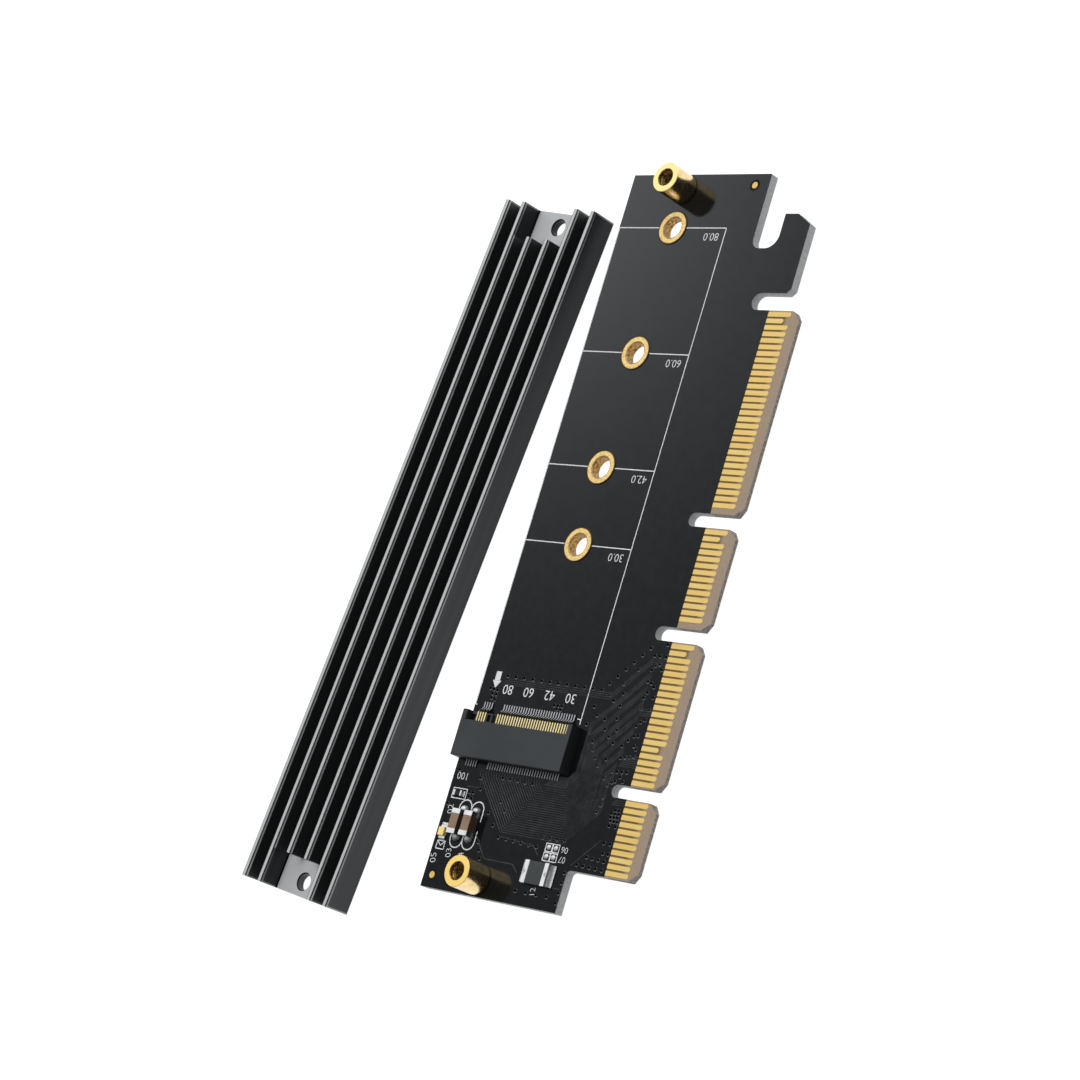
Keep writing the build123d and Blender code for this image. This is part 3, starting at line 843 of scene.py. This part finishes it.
def fan_routes(settings):
    """Traces from the socket's rear contacts, down, round the corner and up to the contact edge."""
    routes = []
    count = len(FAN_BANDS) * settings.band_lines
    for i in range(count):
        band, line = divmod(i, settings.band_lines)
        climb, slanted = climb_and_slant(settings, FAN_BANDS[band], line)
        share = i / (count - 1)
        y, left, right = (first + (last - first) * share for first, last in zip(*FAN_RUNS))
        tail = left + (y - TURN_Y) * SPLAY
        turns = [(tail, REAR_Y), (tail, TURN_Y), (left, y), (right, y), (climb, y + climb - right)]
        routes.append(turns + slanted)
    return routes


def corner_routes(settings):
    """Traces of the last rear contacts, which pass close to the socket's corner."""
    first_x, first_y, right = 7.2, -0.75, 11.3
    step_x, step_y, spread = 0.25, 0.2, 0.68
    routes = []
    for i in range(len(CORNER_BANDS) * settings.band_lines):
        band, line = divmod(i, settings.band_lines)
        climb, slanted = climb_and_slant(settings, CORNER_BANDS[band], line, spread)
        left, y = first_x + step_x * i, first_y + step_y * i
        routes.append([(left, y), (right, y), (climb, y + climb - right)] + slanted)
    return routes


def upper_routes(settings):
    """Traces of the band that runs past the socket's mouth to the contacts."""
    left, low, pitch = -6.8, 12.75, 0.3
    middle_shift, edge = -1.65, 20.6
    routes = []
    for line in range(settings.band_lines):
        y = low + pitch * line
        aside = line - (settings.band_lines - 1) / 2
        shift = middle_shift + aside * settings.band_pitch / MM * SLANT_SPACING
        start = (left + pitch * line, y)
        routes.append([start, (y - shift, y), (edge, edge + shift), (COAT_EDGE_MM, edge + shift)])
    return routes


def edge_routes():
    """Short traces that run straight in from the contacts: start, pitch and count of each group."""
    groups = ((19.9, 3.55, 0.3, 6), (20.7, -1.95, 0.32, 4), (20.5, 11.1, 0.3, 4))
    step_x = 0.14
    routes = []
    for x, y, pitch, count in groups:
        for i in range(count):
            routes.append([(x + step_x * i, y + pitch * i), (COAT_EDGE_MM, y + pitch * i)])
    return routes


def plane_routes():
    """Edges of the copper areas, seen as low steps in the coating."""
    return [
        [(-7.5, -2.9), (-4.85, -2.85), (-5.3, -1.5)],
        [(-3.1, -9.4), (-0.1, -12.8), (5.6, -12.8), (7.0, -13.9)],
        [(1.5, -9.2), (8.6, -9.7), (9.9, -10.9)],
        [(16.4, -11.5), (20.8, -7.1)],
        [(14.4, -15.0), (15.8, -15.0)],
    ]


# Low rims of the plated holes under the coating, in millimetres
VIA_RIM, VIA_MOUTH, VIA_FLOOR, VIA_RISE = 0.32, 0.23, 0.25, 0.05

# Rows of vias: first place, last place and how many
VIA_ROWS = (
    (-6.0, 14.05, 12.8, 13.9, 12),
    (14.5, 13.3, 14.5, 13.3, 1),
    (13.9, 15.0, 19.6, 20.8, 6),
    (22.5, 21.6, 22.5, 21.6, 1),
    (13.3, 10.2, 12.3, 11.4, 2),
    (11.8, 8.7, 13.8, 6.4, 3),
    (14.4, 5.2, 16.1, 3.1, 3),
    (18.0, 1.5, 18.9, 0.6, 2),
    (15.6, 12.6, 17.0, 13.8, 2),
    (16.5, 15.2, 18.5, 17.5, 2),
    (14.9, 9.8, 17.0, 12.0, 2),
    (15.5, 8.4, 17.1, 10.1, 2),
    (16.6, 7.4, 17.7, 8.5, 2),
    (17.7, 6.6, 17.7, 6.6, 1),
    (17.3, 4.2, 19.5, 6.4, 2),
    (20.7, 19.8, 22.8, 19.8, 3),
    (21.4, 18.4, 22.1, 18.6, 2),
    (20.9, 17.7, 22.7, 17.9, 2),
    (20.8, 16.0, 21.5, 15.8, 2),
    (21.3, 14.4, 22.2, 15.3, 2),
    (20.9, 13.6, 22.6, 13.8, 2),
    (21.0, 12.0, 22.6, 12.0, 2),
    (21.6, 10.1, 22.3, 10.5, 2),
    (20.3, 7.3, 21.0, 9.5, 2),
    (21.2, 8.0, 21.9, 8.1, 2),
    (21.7, 6.6, 22.2, 6.2, 2),
    (19.9, 4.7, 22.2, 5.1, 4),
    (19.1, 2.6, 21.8, 2.8, 4),
    (20.8, 2.0, 21.5, 1.4, 2),
    (19.6, 1.1, 20.1, 1.3, 2),
    (4.7, 10.7, 6.2, 10.75, 3),
    (5.35, 10.2, 6.1, 10.2, 2),
    (-8.6, 11.9, -7.2, 11.75, 3),
    (-7.95, 11.15, -7.2, 11.1, 2),
    (-7.95, 10.5, -7.2, 10.3, 2),
    (-5.3, -1.4, -4.75, -3.0, 2),
    (-1.8, -6.2, -0.2, -7.85, 2),
    (-0.05, -4.3, 1.25, -5.5, 2),
    (1.5, -9.4, 9.2, -9.75, 6),
    (9.9, -8.3, 14.1, -8.1, 4),
    (-6.7, -3.7, -5.9, -3.7, 2),
    (-6.55, -4.4, -5.9, -4.6, 2),
    (-10.3, -5.85, -9.9, -0.7, 2),
    (-2.1, -10.6, -0.85, -12.9, 3),
    (7.7, -16.4, 13.8, -16.4, 4),
    (15.8, -12.6, 15.8, -17.0, 4),
    (17.6, -11.15, 22.4, -11.3, 5),
    (19.0, -9.85, 22.3, -10.05, 4),
    (21.7, -8.95, 22.7, -8.95, 2),
    (21.4, -7.5, 22.55, -7.5, 2),
    (21.4, -5.0, 22.6, -5.0, 2),
    (21.4, -4.3, 22.7, -4.3, 3),
    (21.2, -3.8, 22.5, -3.75, 3),
    (21.2, -3.25, 22.5, -3.2, 3),
    (21.8, -2.7, 22.4, -2.7, 2),
    (18.8, -1.2, 18.8, -2.35, 2),
    (18.4, -3.4, 18.4, -3.4, 1),
    (-1.0, -0.9, 5.0, -1.0, 5),
)


def via_places():
    """Centre of each via, along the rows."""
    for x, y, last_x, last_y, count in VIA_ROWS:
        for i in range(count):
            share = i / max(1, count - 1)
            yield x + (last_x - x) * share, y + (last_y - y) * share


def via_mesh():
    """Low coated rim of each via."""
    bm = bmesh.new()
    for x, y in via_places():
        where = Matrix.Translation(spot(x, y, VIA_RISE / 2))
        bmesh.ops.create_cone(
            bm, cap_ends=False, segments=12, radius1=VIA_RIM * MM, radius2=VIA_MOUTH * MM,
            depth=VIA_RISE * MM, matrix=where,
        )
    return mesh_from(bm, "vias")


def via_hole_mesh():
    """Near-black disc at each via, painted shade for its hole."""
    bm = bmesh.new()
    for x, y in via_places():
        where = Matrix.Translation(spot(x, y, 0.012))
        bmesh.ops.create_circle(bm, cap_ends=True, segments=12, radius=VIA_FLOOR * MM, matrix=where)
    return mesh_from(bm, "via_holes")


# Turned and soldered parts

def post_mesh(node):
    """Threaded post: rounded edges outside, and a real helix in its bore."""
    low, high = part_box(node)
    centre = upright_axis(low, high)
    foot, top, outer = BOARD_TOP / MM, high.z / MM, (high.x - low.x) / 2 / MM
    shank, root, crest, mouth = 1.9, 1.3, 1.14, 1.42
    easing, countersink, overlap = 0.06, 0.16, 0.02
    bm = bmesh.new()
    body = [
        (root, 0),
        (shank, 0),
        (shank, foot),
        (outer, foot),
        (outer, top - easing),
        (outer - easing, top),
        (mouth, top),
        (root, top - countersink),
    ]
    spun(bm, body, centre, 64)
    bmesh.ops.remove_doubles(bm, verts=bm.verts, dist=1e-7)
    pitch, start, run_out, tooth_width = 0.45, 0.05, 0.7, 0.36
    turns = (top - run_out) / pitch
    flank = root + overlap
    tooth = [(flank, start), (flank, start + tooth_width), (crest, start + tooth_width / 2)]
    spun(bm, tooth, centre, 32, turns, pitch)
    bmesh.ops.holes_fill(bm, edges=bm.edges)
    return mesh_from(bm, node + "_turned")


def cover_mesh():
    """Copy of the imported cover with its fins' tips eased."""
    bm = bmesh.new()
    bm.from_mesh(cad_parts["finned_cover"].data)
    bmesh.ops.remove_doubles(bm, verts=bm.verts, dist=1e-6)
    bmesh.ops.dissolve_limit(bm, angle_limit=0.01, verts=bm.verts, edges=bm.edges)
    top = COVER_HIGH.z - 0.01 * MM
    shortest, easing = 20 * MM, 0.1 * MM
    tips = [edge for edge in bm.edges if min(vert.co.z for vert in edge.verts) > top]
    tips = [edge for edge in tips if edge.calc_length() > shortest]
    bmesh.ops.bevel(
        bm, geom=tips, offset=easing, offset_type="OFFSET", segments=2, profile=0.5,
        affect="EDGES", material=-1,
    )
    return mesh_from(bm, "cover_eased")


def ring_mesh(length):
    """Plated ring with its rolled lip."""
    low, high = RING_BOXES[length]
    foot, top, outer = BOARD_TOP / MM, high.z / MM, (high.x - low.x) / 2 / MM
    barrel, bore, easing = 2.05, 1.65, 0.04
    rim, lip, lip_depth = 0.05, 0.12, 0.09
    profile = [
        (bore, easing),
        (bore + easing, 0),
        (barrel, 0),
        (barrel, foot),
        (outer, foot),
        (outer, top - easing),
        (outer - rim, top),
        (bore + lip, top),
        (bore, top - lip_depth),
    ]
    bm = bmesh.new()
    spun(bm, profile, upright_axis(low, high), 64)
    bmesh.ops.remove_doubles(bm, verts=bm.verts, dist=1e-7)
    return mesh_from(bm, f"ring_{length}")


def bead(bm, place, size):
    """Half an ellipsoid of solder on the board."""
    before = set(bm.verts)
    where = Matrix.Translation(place) @ Matrix.Diagonal((size[0] * MM, size[1] * MM, size[2] * MM, 1))
    made = bmesh.ops.create_uvsphere(bm, u_segments=24, v_segments=14, radius=1, matrix=where)
    faces = {face for vert in made["verts"] for face in vert.link_faces}
    edges = {edge for vert in made["verts"] for edge in vert.link_edges}
    whole = made["verts"] + list(edges) + list(faces)
    cut = bmesh.ops.bisect_plane(
        bm, geom=whole, plane_co=place, plane_no=(0, 0, -1), clear_outer=True, dist=1e-7
    )
    rim = [item for item in cut["geom_cut"] if isinstance(item, bmesh.types.BMEdge)]
    bmesh.ops.holes_fill(bm, edges=rim)
    return set(bm.verts) - before


def fillet(bm, end, turn, width, run, rise, full):
    """Solder between an end cap and the board, hollow or full, extruded across the cap."""
    inset = 0.35
    middle, start, stop = ((0, 0), 0, 90) if full else ((1, 1), 270, 180)
    outline = [(-inset, 0)]
    outline += [(x * run, z * rise) for x, z in corner_arc(*middle, 1.0, start, stop, 7)]
    outline.append((-inset, rise))
    verts = [bm.verts.new((x * MM, -width * MM / 2, z * MM)) for x, z in outline]
    grown = bmesh.ops.extrude_face_region(bm, geom=[bm.faces.new(verts)])
    far = [item for item in grown["geom"] if isinstance(item, bmesh.types.BMVert)]
    bmesh.ops.translate(bm, verts=far, vec=(0, width * MM, 0))
    place = Matrix.Translation(end) @ Matrix.Rotation(turn, 4, "Z")
    bmesh.ops.transform(bm, matrix=place, verts=verts + far)


def solder_mesh():
    """Solder at the chip parts: beads at the capacitors, fillets at the flat chips."""
    bm = bmesh.new()
    for chip in CHIPS:
        low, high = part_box(chip + "_ends")
        span = (high - low) / MM
        lengthwise = span.x > span.y
        width = span.y if lengthwise else span.x
        fuse = chip == "fuse"
        for side in (-1, 1):
            end = upright_axis(low, high)
            end.z = BOARD_TOP
            outer = high if side > 0 else low
            if lengthwise:
                end.x = outer.x
                turn = 0 if side > 0 else math.pi
            else:
                end.y = outer.y
                turn = side * math.pi / 2
            if chip in BEADED:
                end.y += side * 0.16 * MM
                bead(bm, end, (width * 0.4, 0.72, span.z * 0.42))
            else:
                run, share = (0.6, 0.985) if fuse else (0.3, 0.85)
                fillet(bm, end, turn, width * 0.94, run, span.z * share, fuse and side < 0)
    return mesh_from(bm, "solder")


def dome_mesh():
    """Domes of solder on the empty footprints."""
    low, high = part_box("spare_pad_solder")
    radius, rise = 0.42, (high.z - low.z) / MM
    bm = bmesh.new()
    for x in (low.x + radius * MM, high.x - radius * MM):
        for y in (low.y + radius * MM, high.y - radius * MM):
            bead(bm, Vector((x, y, BOARD_TOP)), (radius, radius, rise))
    return mesh_from(bm, "domes")


# Stage

# Camera of the photograph's viewing angle: place in metres, turns in degrees, lens in millimetres
CAMERA_PLACE = (0.296457, -0.059712, 0.332196)
CAMERA_TURNS = (26.10861, 39.72375, 21.61569)
CAMERA_LENS = 108.696

# Soft lights: place, width and height in metres, power in watts, and whether gloss mirrors them
LIGHTS = {
    "far_box": ((0.05, 1.05, 0.75), 1.6, 1.3, 9, True),
    "high_box": ((-0.04, 0.034, 1.3), 1.0, 1.0, 15, False),
}
LIGHT_AIM = Vector((-0.04, 0.035, 0))

# Where the glow of the room stands, and the room's colour
GLOW_DIRECTION = (-0.724, 0.319, 0.611)
ROOM_COLOR = (0.95, 1.0, 1.03, 1)

FLOOR_HALF_WIDTH = 3.0
FLOOR_GAP = 0.2 * MM


def add_light(name, place, width, height, power, mirrored):
    """Soft rectangular studio light aimed at the part."""
    lamp = bpy.data.lights.new(name, "AREA")
    lamp.shape = "RECTANGLE"
    lamp.size = width
    lamp.size_y = height
    lamp.energy = power
    holder = bpy.data.objects.new(name, lamp)
    bpy.context.scene.collection.objects.link(holder)
    holder.location = place
    holder.rotation_euler = (LIGHT_AIM - Vector(place)).to_track_quat("-Z", "Y").to_euler()
    holder.visible_glossy = mirrored


def glow_room(world, settings):
    """Dim room with a soft glow beyond the card's far left corner, which the coating mirrors."""
    room = Nodes(world.node_tree)
    direction = room.node("ShaderNodeTexCoord", output="Generated")
    values = {0: direction, 1: GLOW_DIRECTION}
    aim = room.node("ShaderNodeVectorMath", {"operation": "DOT_PRODUCT"}, values, output="Value")
    glow = aim.maths("EXPONENT", (aim - 1) / settings.glow_spread ** 2)
    haze = aim.maths("EXPONENT", (aim - 1) / settings.haze_spread ** 2)
    background = world.node_tree.nodes["Background"]
    light = glow * settings.glow_strength + haze * settings.haze_strength + settings.world_strength
    room.join(light, background.inputs["Strength"])
    background.inputs["Color"].default_value = ROOM_COLOR


def add_floor(settings):
    """Floor a hair below the part."""
    bm = bmesh.new()
    bmesh.ops.create_grid(bm, x_segments=1, y_segments=1, size=FLOOR_HALF_WIDTH)
    mesh = mesh_from(bm, "floor")
    mesh.materials.append(floor_finish(settings))
    floor = bpy.data.objects.new("floor", mesh)
    floor.location = (0, 0, -FLOOR_GAP)
    bpy.context.scene.collection.objects.link(floor)


def add_camera():
    """Camera at the photograph's viewing angle."""
    lens = bpy.data.cameras.new("camera")
    lens.sensor_width = 36.0
    lens.lens = CAMERA_LENS
    lens.clip_start = 0.01
    lens.clip_end = 10.0
    camera = bpy.data.objects.new("camera", lens)
    turns = Euler([math.radians(turn) for turn in CAMERA_TURNS])
    camera.matrix_world = Matrix.LocRotScale(Vector(CAMERA_PLACE), turns, None)
    bpy.context.scene.collection.objects.link(camera)
    bpy.context.scene.camera = camera


# Settings

class AdapterCardSettings(bpy.types.PropertyGroup):
    """Colours, traces and light of the adapter card"""

    coating_color: FloatVectorProperty(
        name="Coating", description="Colour of the board's coating", subtype="COLOR",
        default=srgb(10, 11, 12)[:3], min=0, max=1,
    )
    trace_color: FloatVectorProperty(
        name="Coated copper", description="Colour of the coating over traces", subtype="COLOR",
        default=srgb(37, 39, 41)[:3], min=0, max=1,
    )
    ink_color: FloatVectorProperty(
        name="Ink", description="Colour of the lines and figures on the board", subtype="COLOR",
        default=srgb(212, 213, 214)[:3], min=0, max=1,
    )
    gold_color: FloatVectorProperty(
        name="Gold", description="Colour of the gold plate", subtype="COLOR",
        default=srgb(252, 212, 124)[:3], min=0, max=1,
    )
    brass_color: FloatVectorProperty(
        name="Brass", description="Colour of the posts", subtype="COLOR",
        default=srgb(242, 217, 164)[:3], min=0, max=1,
    )
    cover_color: FloatVectorProperty(
        name="Cover", description="Colour of the anodised cover", subtype="COLOR",
        default=srgb(52, 53, 55)[:3], min=0, max=1,
    )
    # Painted light: the fin tips' colour, pale as the light they mirror.
    fin_tip_color: FloatVectorProperty(
        name="Fin tips", description="Colour of the rubbed tips of the fins", subtype="COLOR",
        default=srgb(184, 185, 185)[:3], min=0, max=1,
    )
    socket_color: FloatVectorProperty(
        name="Socket", description="Colour of the socket's plastic", subtype="COLOR",
        default=srgb(50, 52, 54)[:3], min=0, max=1,
    )
    floor_color: FloatVectorProperty(
        name="Floor", description="Colour of the floor", subtype="COLOR",
        default=srgb(116, 116, 116)[:3], min=0, max=1,
    )
    ink_line_x: FloatProperty(
        name="Module edge line", description="Module line to the long ink line",
        default=10.5 * MM, min=8 * MM, max=12 * MM, unit="LENGTH",
    )
    band_lines: IntProperty(
        name="Traces in a band", description="Traces side by side in each slanted band",
        default=4, min=1, max=6,
    )
    climb_pitch: FloatProperty(
        name="Climb pitch", description="Distance between traces beside the socket",
        default=0.24 * MM, min=0.15 * MM, max=0.5 * MM, unit="LENGTH",
    )
    band_pitch: FloatProperty(
        name="Trace pitch", description="Distance between traces in a band",
        default=0.21 * MM, min=0.15 * MM, max=0.5 * MM, unit="LENGTH",
    )
    trace_width: FloatProperty(
        name="Trace width", description="Width of a trace",
        default=0.13 * MM, min=0.05 * MM, max=0.4 * MM, unit="LENGTH",
    )
    show_traces: BoolProperty(
        name="Traces", description="Draw the copper lines under the coating", default=True,
    )
    world_strength: FloatProperty(
        name="Room light", description="Brightness of the plain room", default=0.13, min=0, max=5,
    )
    floor_glow: FloatProperty(
        name="Floor glow", description="Light that the floor gives by itself", default=0.94, min=0, max=2,
    )
    glow_strength: FloatProperty(
        name="Glow", description="Brightness of the soft glow that the coating mirrors", default=2.4,
        min=0, max=10,
    )
    haze_strength: FloatProperty(
        name="Haze", description="Brightness of the wide haze round the glow", default=0.14, min=0, max=5,
    )
    glow_spread: FloatProperty(
        name="Glow spread", description="Half width of the glow", subtype="ANGLE",
        default=math.radians(3.93), min=math.radians(1), max=math.radians(40),
    )
    haze_spread: FloatProperty(
        name="Haze spread", description="Half width of the haze", subtype="ANGLE",
        default=math.radians(22), min=math.radians(5), max=math.radians(90),
    )
    light_strength: FloatProperty(
        name="Studio light", description="Brightness of the studio lights", default=1.0, min=0, max=10,
    )


# Operators

class ADAPTERCARD_OT_finishes(bpy.types.Operator):
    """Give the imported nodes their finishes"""

    bl_idname = "adapter_card.finishes"
    bl_label = "Finishes"

    def execute(self, context):
        settings = context.scene.adapter_card
        gold = contact_finish(settings)
        tin = tin_finish()
        # Socket plastic with painted shade on its side walls.
        socket = moulded_finish("socket_plastic", rgb(settings.socket_color), 0.5, side=0.4)
        ceramic = ceramic_finish()
        finishes = {
            "circuit_board": coating_finish(settings),
            "edge_contacts_front": gold,
            "edge_contacts_back": gold,
            "socket_housing": socket,
            "socket_contacts_lower": spring_finish(),
            "socket_contacts_upper": tail_finish(),
            "capacitor_outer_body": ceramic,
            "capacitor_inner_body": ceramic,
            "resistor_body": moulded_finish("resistor_glaze", srgb(30, 30, 32), 0.3),
            "fuse_body": moulded_finish("fuse_resin", srgb(58, 60, 61), 0.5),
            "lamp_base": moulded_finish("lamp_base_white", srgb(212, 206, 192), 0.4),
            "lamp_lens": lens_finish(),
            "fiducial_dots": plated_finish("dot_gold", srgb(242, 200, 116), 0.35, metallic=0.4),
        }
        for chip in CHIPS:
            finishes[chip + "_ends"] = tin
        for name, material in finishes.items():
            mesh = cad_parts[name].data
            mesh.materials.clear()
            mesh.materials.append(material)
        return {"FINISHED"}


class ADAPTERCARD_OT_ink(bpy.types.Operator):
    """Draw the white lines, the arrow and the plain figures"""

    bl_idname = "adapter_card.ink"
    bl_label = "Ink"

    def execute(self, context):
        settings = context.scene.adapter_card
        ink = ink_finish(settings)
        module = drawn_lines("ink_frame", ink_frame_routes(settings), FRAME_WIDTH, INK_RISE)
        outlines = capacitor_outlines() + chip_outlines()
        parts = drawn_lines("ink_outlines", outlines, OUTLINE_WIDTH, INK_RISE)
        mesh = joined([module, parts, arrow_mesh(*ARROW_PLACE)] + number_meshes(), "ink")
        add_piece("board_ink_marks", mesh, ink)
        return {"FINISHED"}


class ADAPTERCARD_OT_copper(bpy.types.Operator):
    """Raise the traces, copper edges and vias under the coating"""

    bl_idname = "adapter_card.copper"
    bl_label = "Coated copper"

    def execute(self, context):
        settings = context.scene.adapter_card
        coat = trace_finish(settings)
        if settings.show_traces:
            routes = fan_routes(settings) + corner_routes(settings)
            routes += upper_routes(settings) + edge_routes()
            mesh = drawn_lines("traces", routes, settings.trace_width / MM, TRACE_RISE)
            add_piece("coated_traces", mesh, coat, sharp=60)
        edges = drawn_lines("copper_edges", plane_routes(), EDGE_WIDTH, EDGE_RISE)
        add_piece("coated_copper_edges", edges, coat, sharp=60)
        add_piece("via_rims", via_mesh(), rim_finish(settings), sharp=60)
        add_piece("via_holes", via_hole_mesh(), via_finish())
        return {"FINISHED"}


class ADAPTERCARD_OT_posts(bpy.types.Operator):
    """Turn the two threaded posts and the plated rings"""

    bl_idname = "adapter_card.posts"
    bl_label = "Posts and rings"

    def execute(self, context):
        settings = context.scene.adapter_card
        for node in ("cover_post_near", "cover_post_far"):
            brass = turned_finish(node, settings)
            add_piece(node + "_turned", post_mesh(node), brass, (node,))
        for length in RING_LENGTHS:
            node = f"hole_ring_{length}"
            gold = ring_finish(length)
            add_piece(node + "_rolled", ring_mesh(length), gold, (node,), 20)
        return {"FINISHED"}


class ADAPTERCARD_OT_cover(bpy.types.Operator):
    """Ease the edges of the finned cover and anodise it"""

    bl_idname = "adapter_card.cover"
    bl_label = "Finned cover"

    def execute(self, context):
        anodised = cover_finish(context.scene.adapter_card)
        add_piece("cover_eased", cover_mesh(), anodised, ("finned_cover",), 12)
        return {"FINISHED"}


class ADAPTERCARD_OT_solder(bpy.types.Operator):
    """Flow the solder at the chip parts and on the empty footprints"""

    bl_idname = "adapter_card.solder"
    bl_label = "Solder"

    def execute(self, context):
        # Solder, with painted shade on the sides that face -Y.
        solder = plated_finish("solder", srgb(226, 227, 228), 0.24, 300, 0.85, 0.75)
        add_piece("solder_beads", solder_mesh(), solder, ("solder_joints",))
        add_piece("solder_domes", dome_mesh(), solder, ("spare_pad_solder",))
        return {"FINISHED"}


class ADAPTERCARD_OT_stage(bpy.types.Operator):
    """Set the floor, the studio lights and the camera"""

    bl_idname = "adapter_card.stage"
    bl_label = "Stage"

    def execute(self, context):
        settings = context.scene.adapter_card
        add_floor(settings)
        for name, (place, width, height, power, mirrored) in LIGHTS.items():
            add_light(name, place, width, height, power * settings.light_strength, mirrored)
        world = bpy.data.worlds.new("room")
        world.use_nodes = True
        glow_room(world, settings)
        context.scene.world = world
        context.scene.view_settings.view_transform = "Standard"
        add_camera()
        return {"FINISHED"}


STEPS = ("finishes", "ink", "copper", "posts", "cover", "solder", "stage")


class ADAPTERCARD_PT_panel(bpy.types.Panel):
    """Settings and operators of the adapter card"""

    bl_idname = "ADAPTERCARD_PT_panel"
    bl_label = "Adapter card"
    bl_space_type = "VIEW_3D"
    bl_region_type = "UI"
    bl_category = "Adapter card"

    def draw(self, context):
        layout = self.layout
        settings = context.scene.adapter_card
        for label in AdapterCardSettings.__annotations__:
            layout.prop(settings, label)
        for step in STEPS:
            layout.operator("adapter_card." + step)


CLASSES = (
    AdapterCardSettings,
    ADAPTERCARD_OT_finishes,
    ADAPTERCARD_OT_ink,
    ADAPTERCARD_OT_copper,
    ADAPTERCARD_OT_posts,
    ADAPTERCARD_OT_cover,
    ADAPTERCARD_OT_solder,
    ADAPTERCARD_OT_stage,
    ADAPTERCARD_PT_panel,
)


def register():
    """Registers the classes and the scene's settings."""
    for kind in CLASSES:
        bpy.utils.register_class(kind)
    bpy.types.Scene.adapter_card = PointerProperty(type=AdapterCardSettings)


def unregister():
    """Takes the settings and the classes away again."""
    del bpy.types.Scene.adapter_card
    for kind in reversed(CLASSES):
        bpy.utils.unregister_class(kind)


def main():
    """Registers the add-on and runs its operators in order."""
    register()
    for step in STEPS:
        getattr(bpy.ops.adapter_card, step)()


if __name__ == "__main__":
    main()
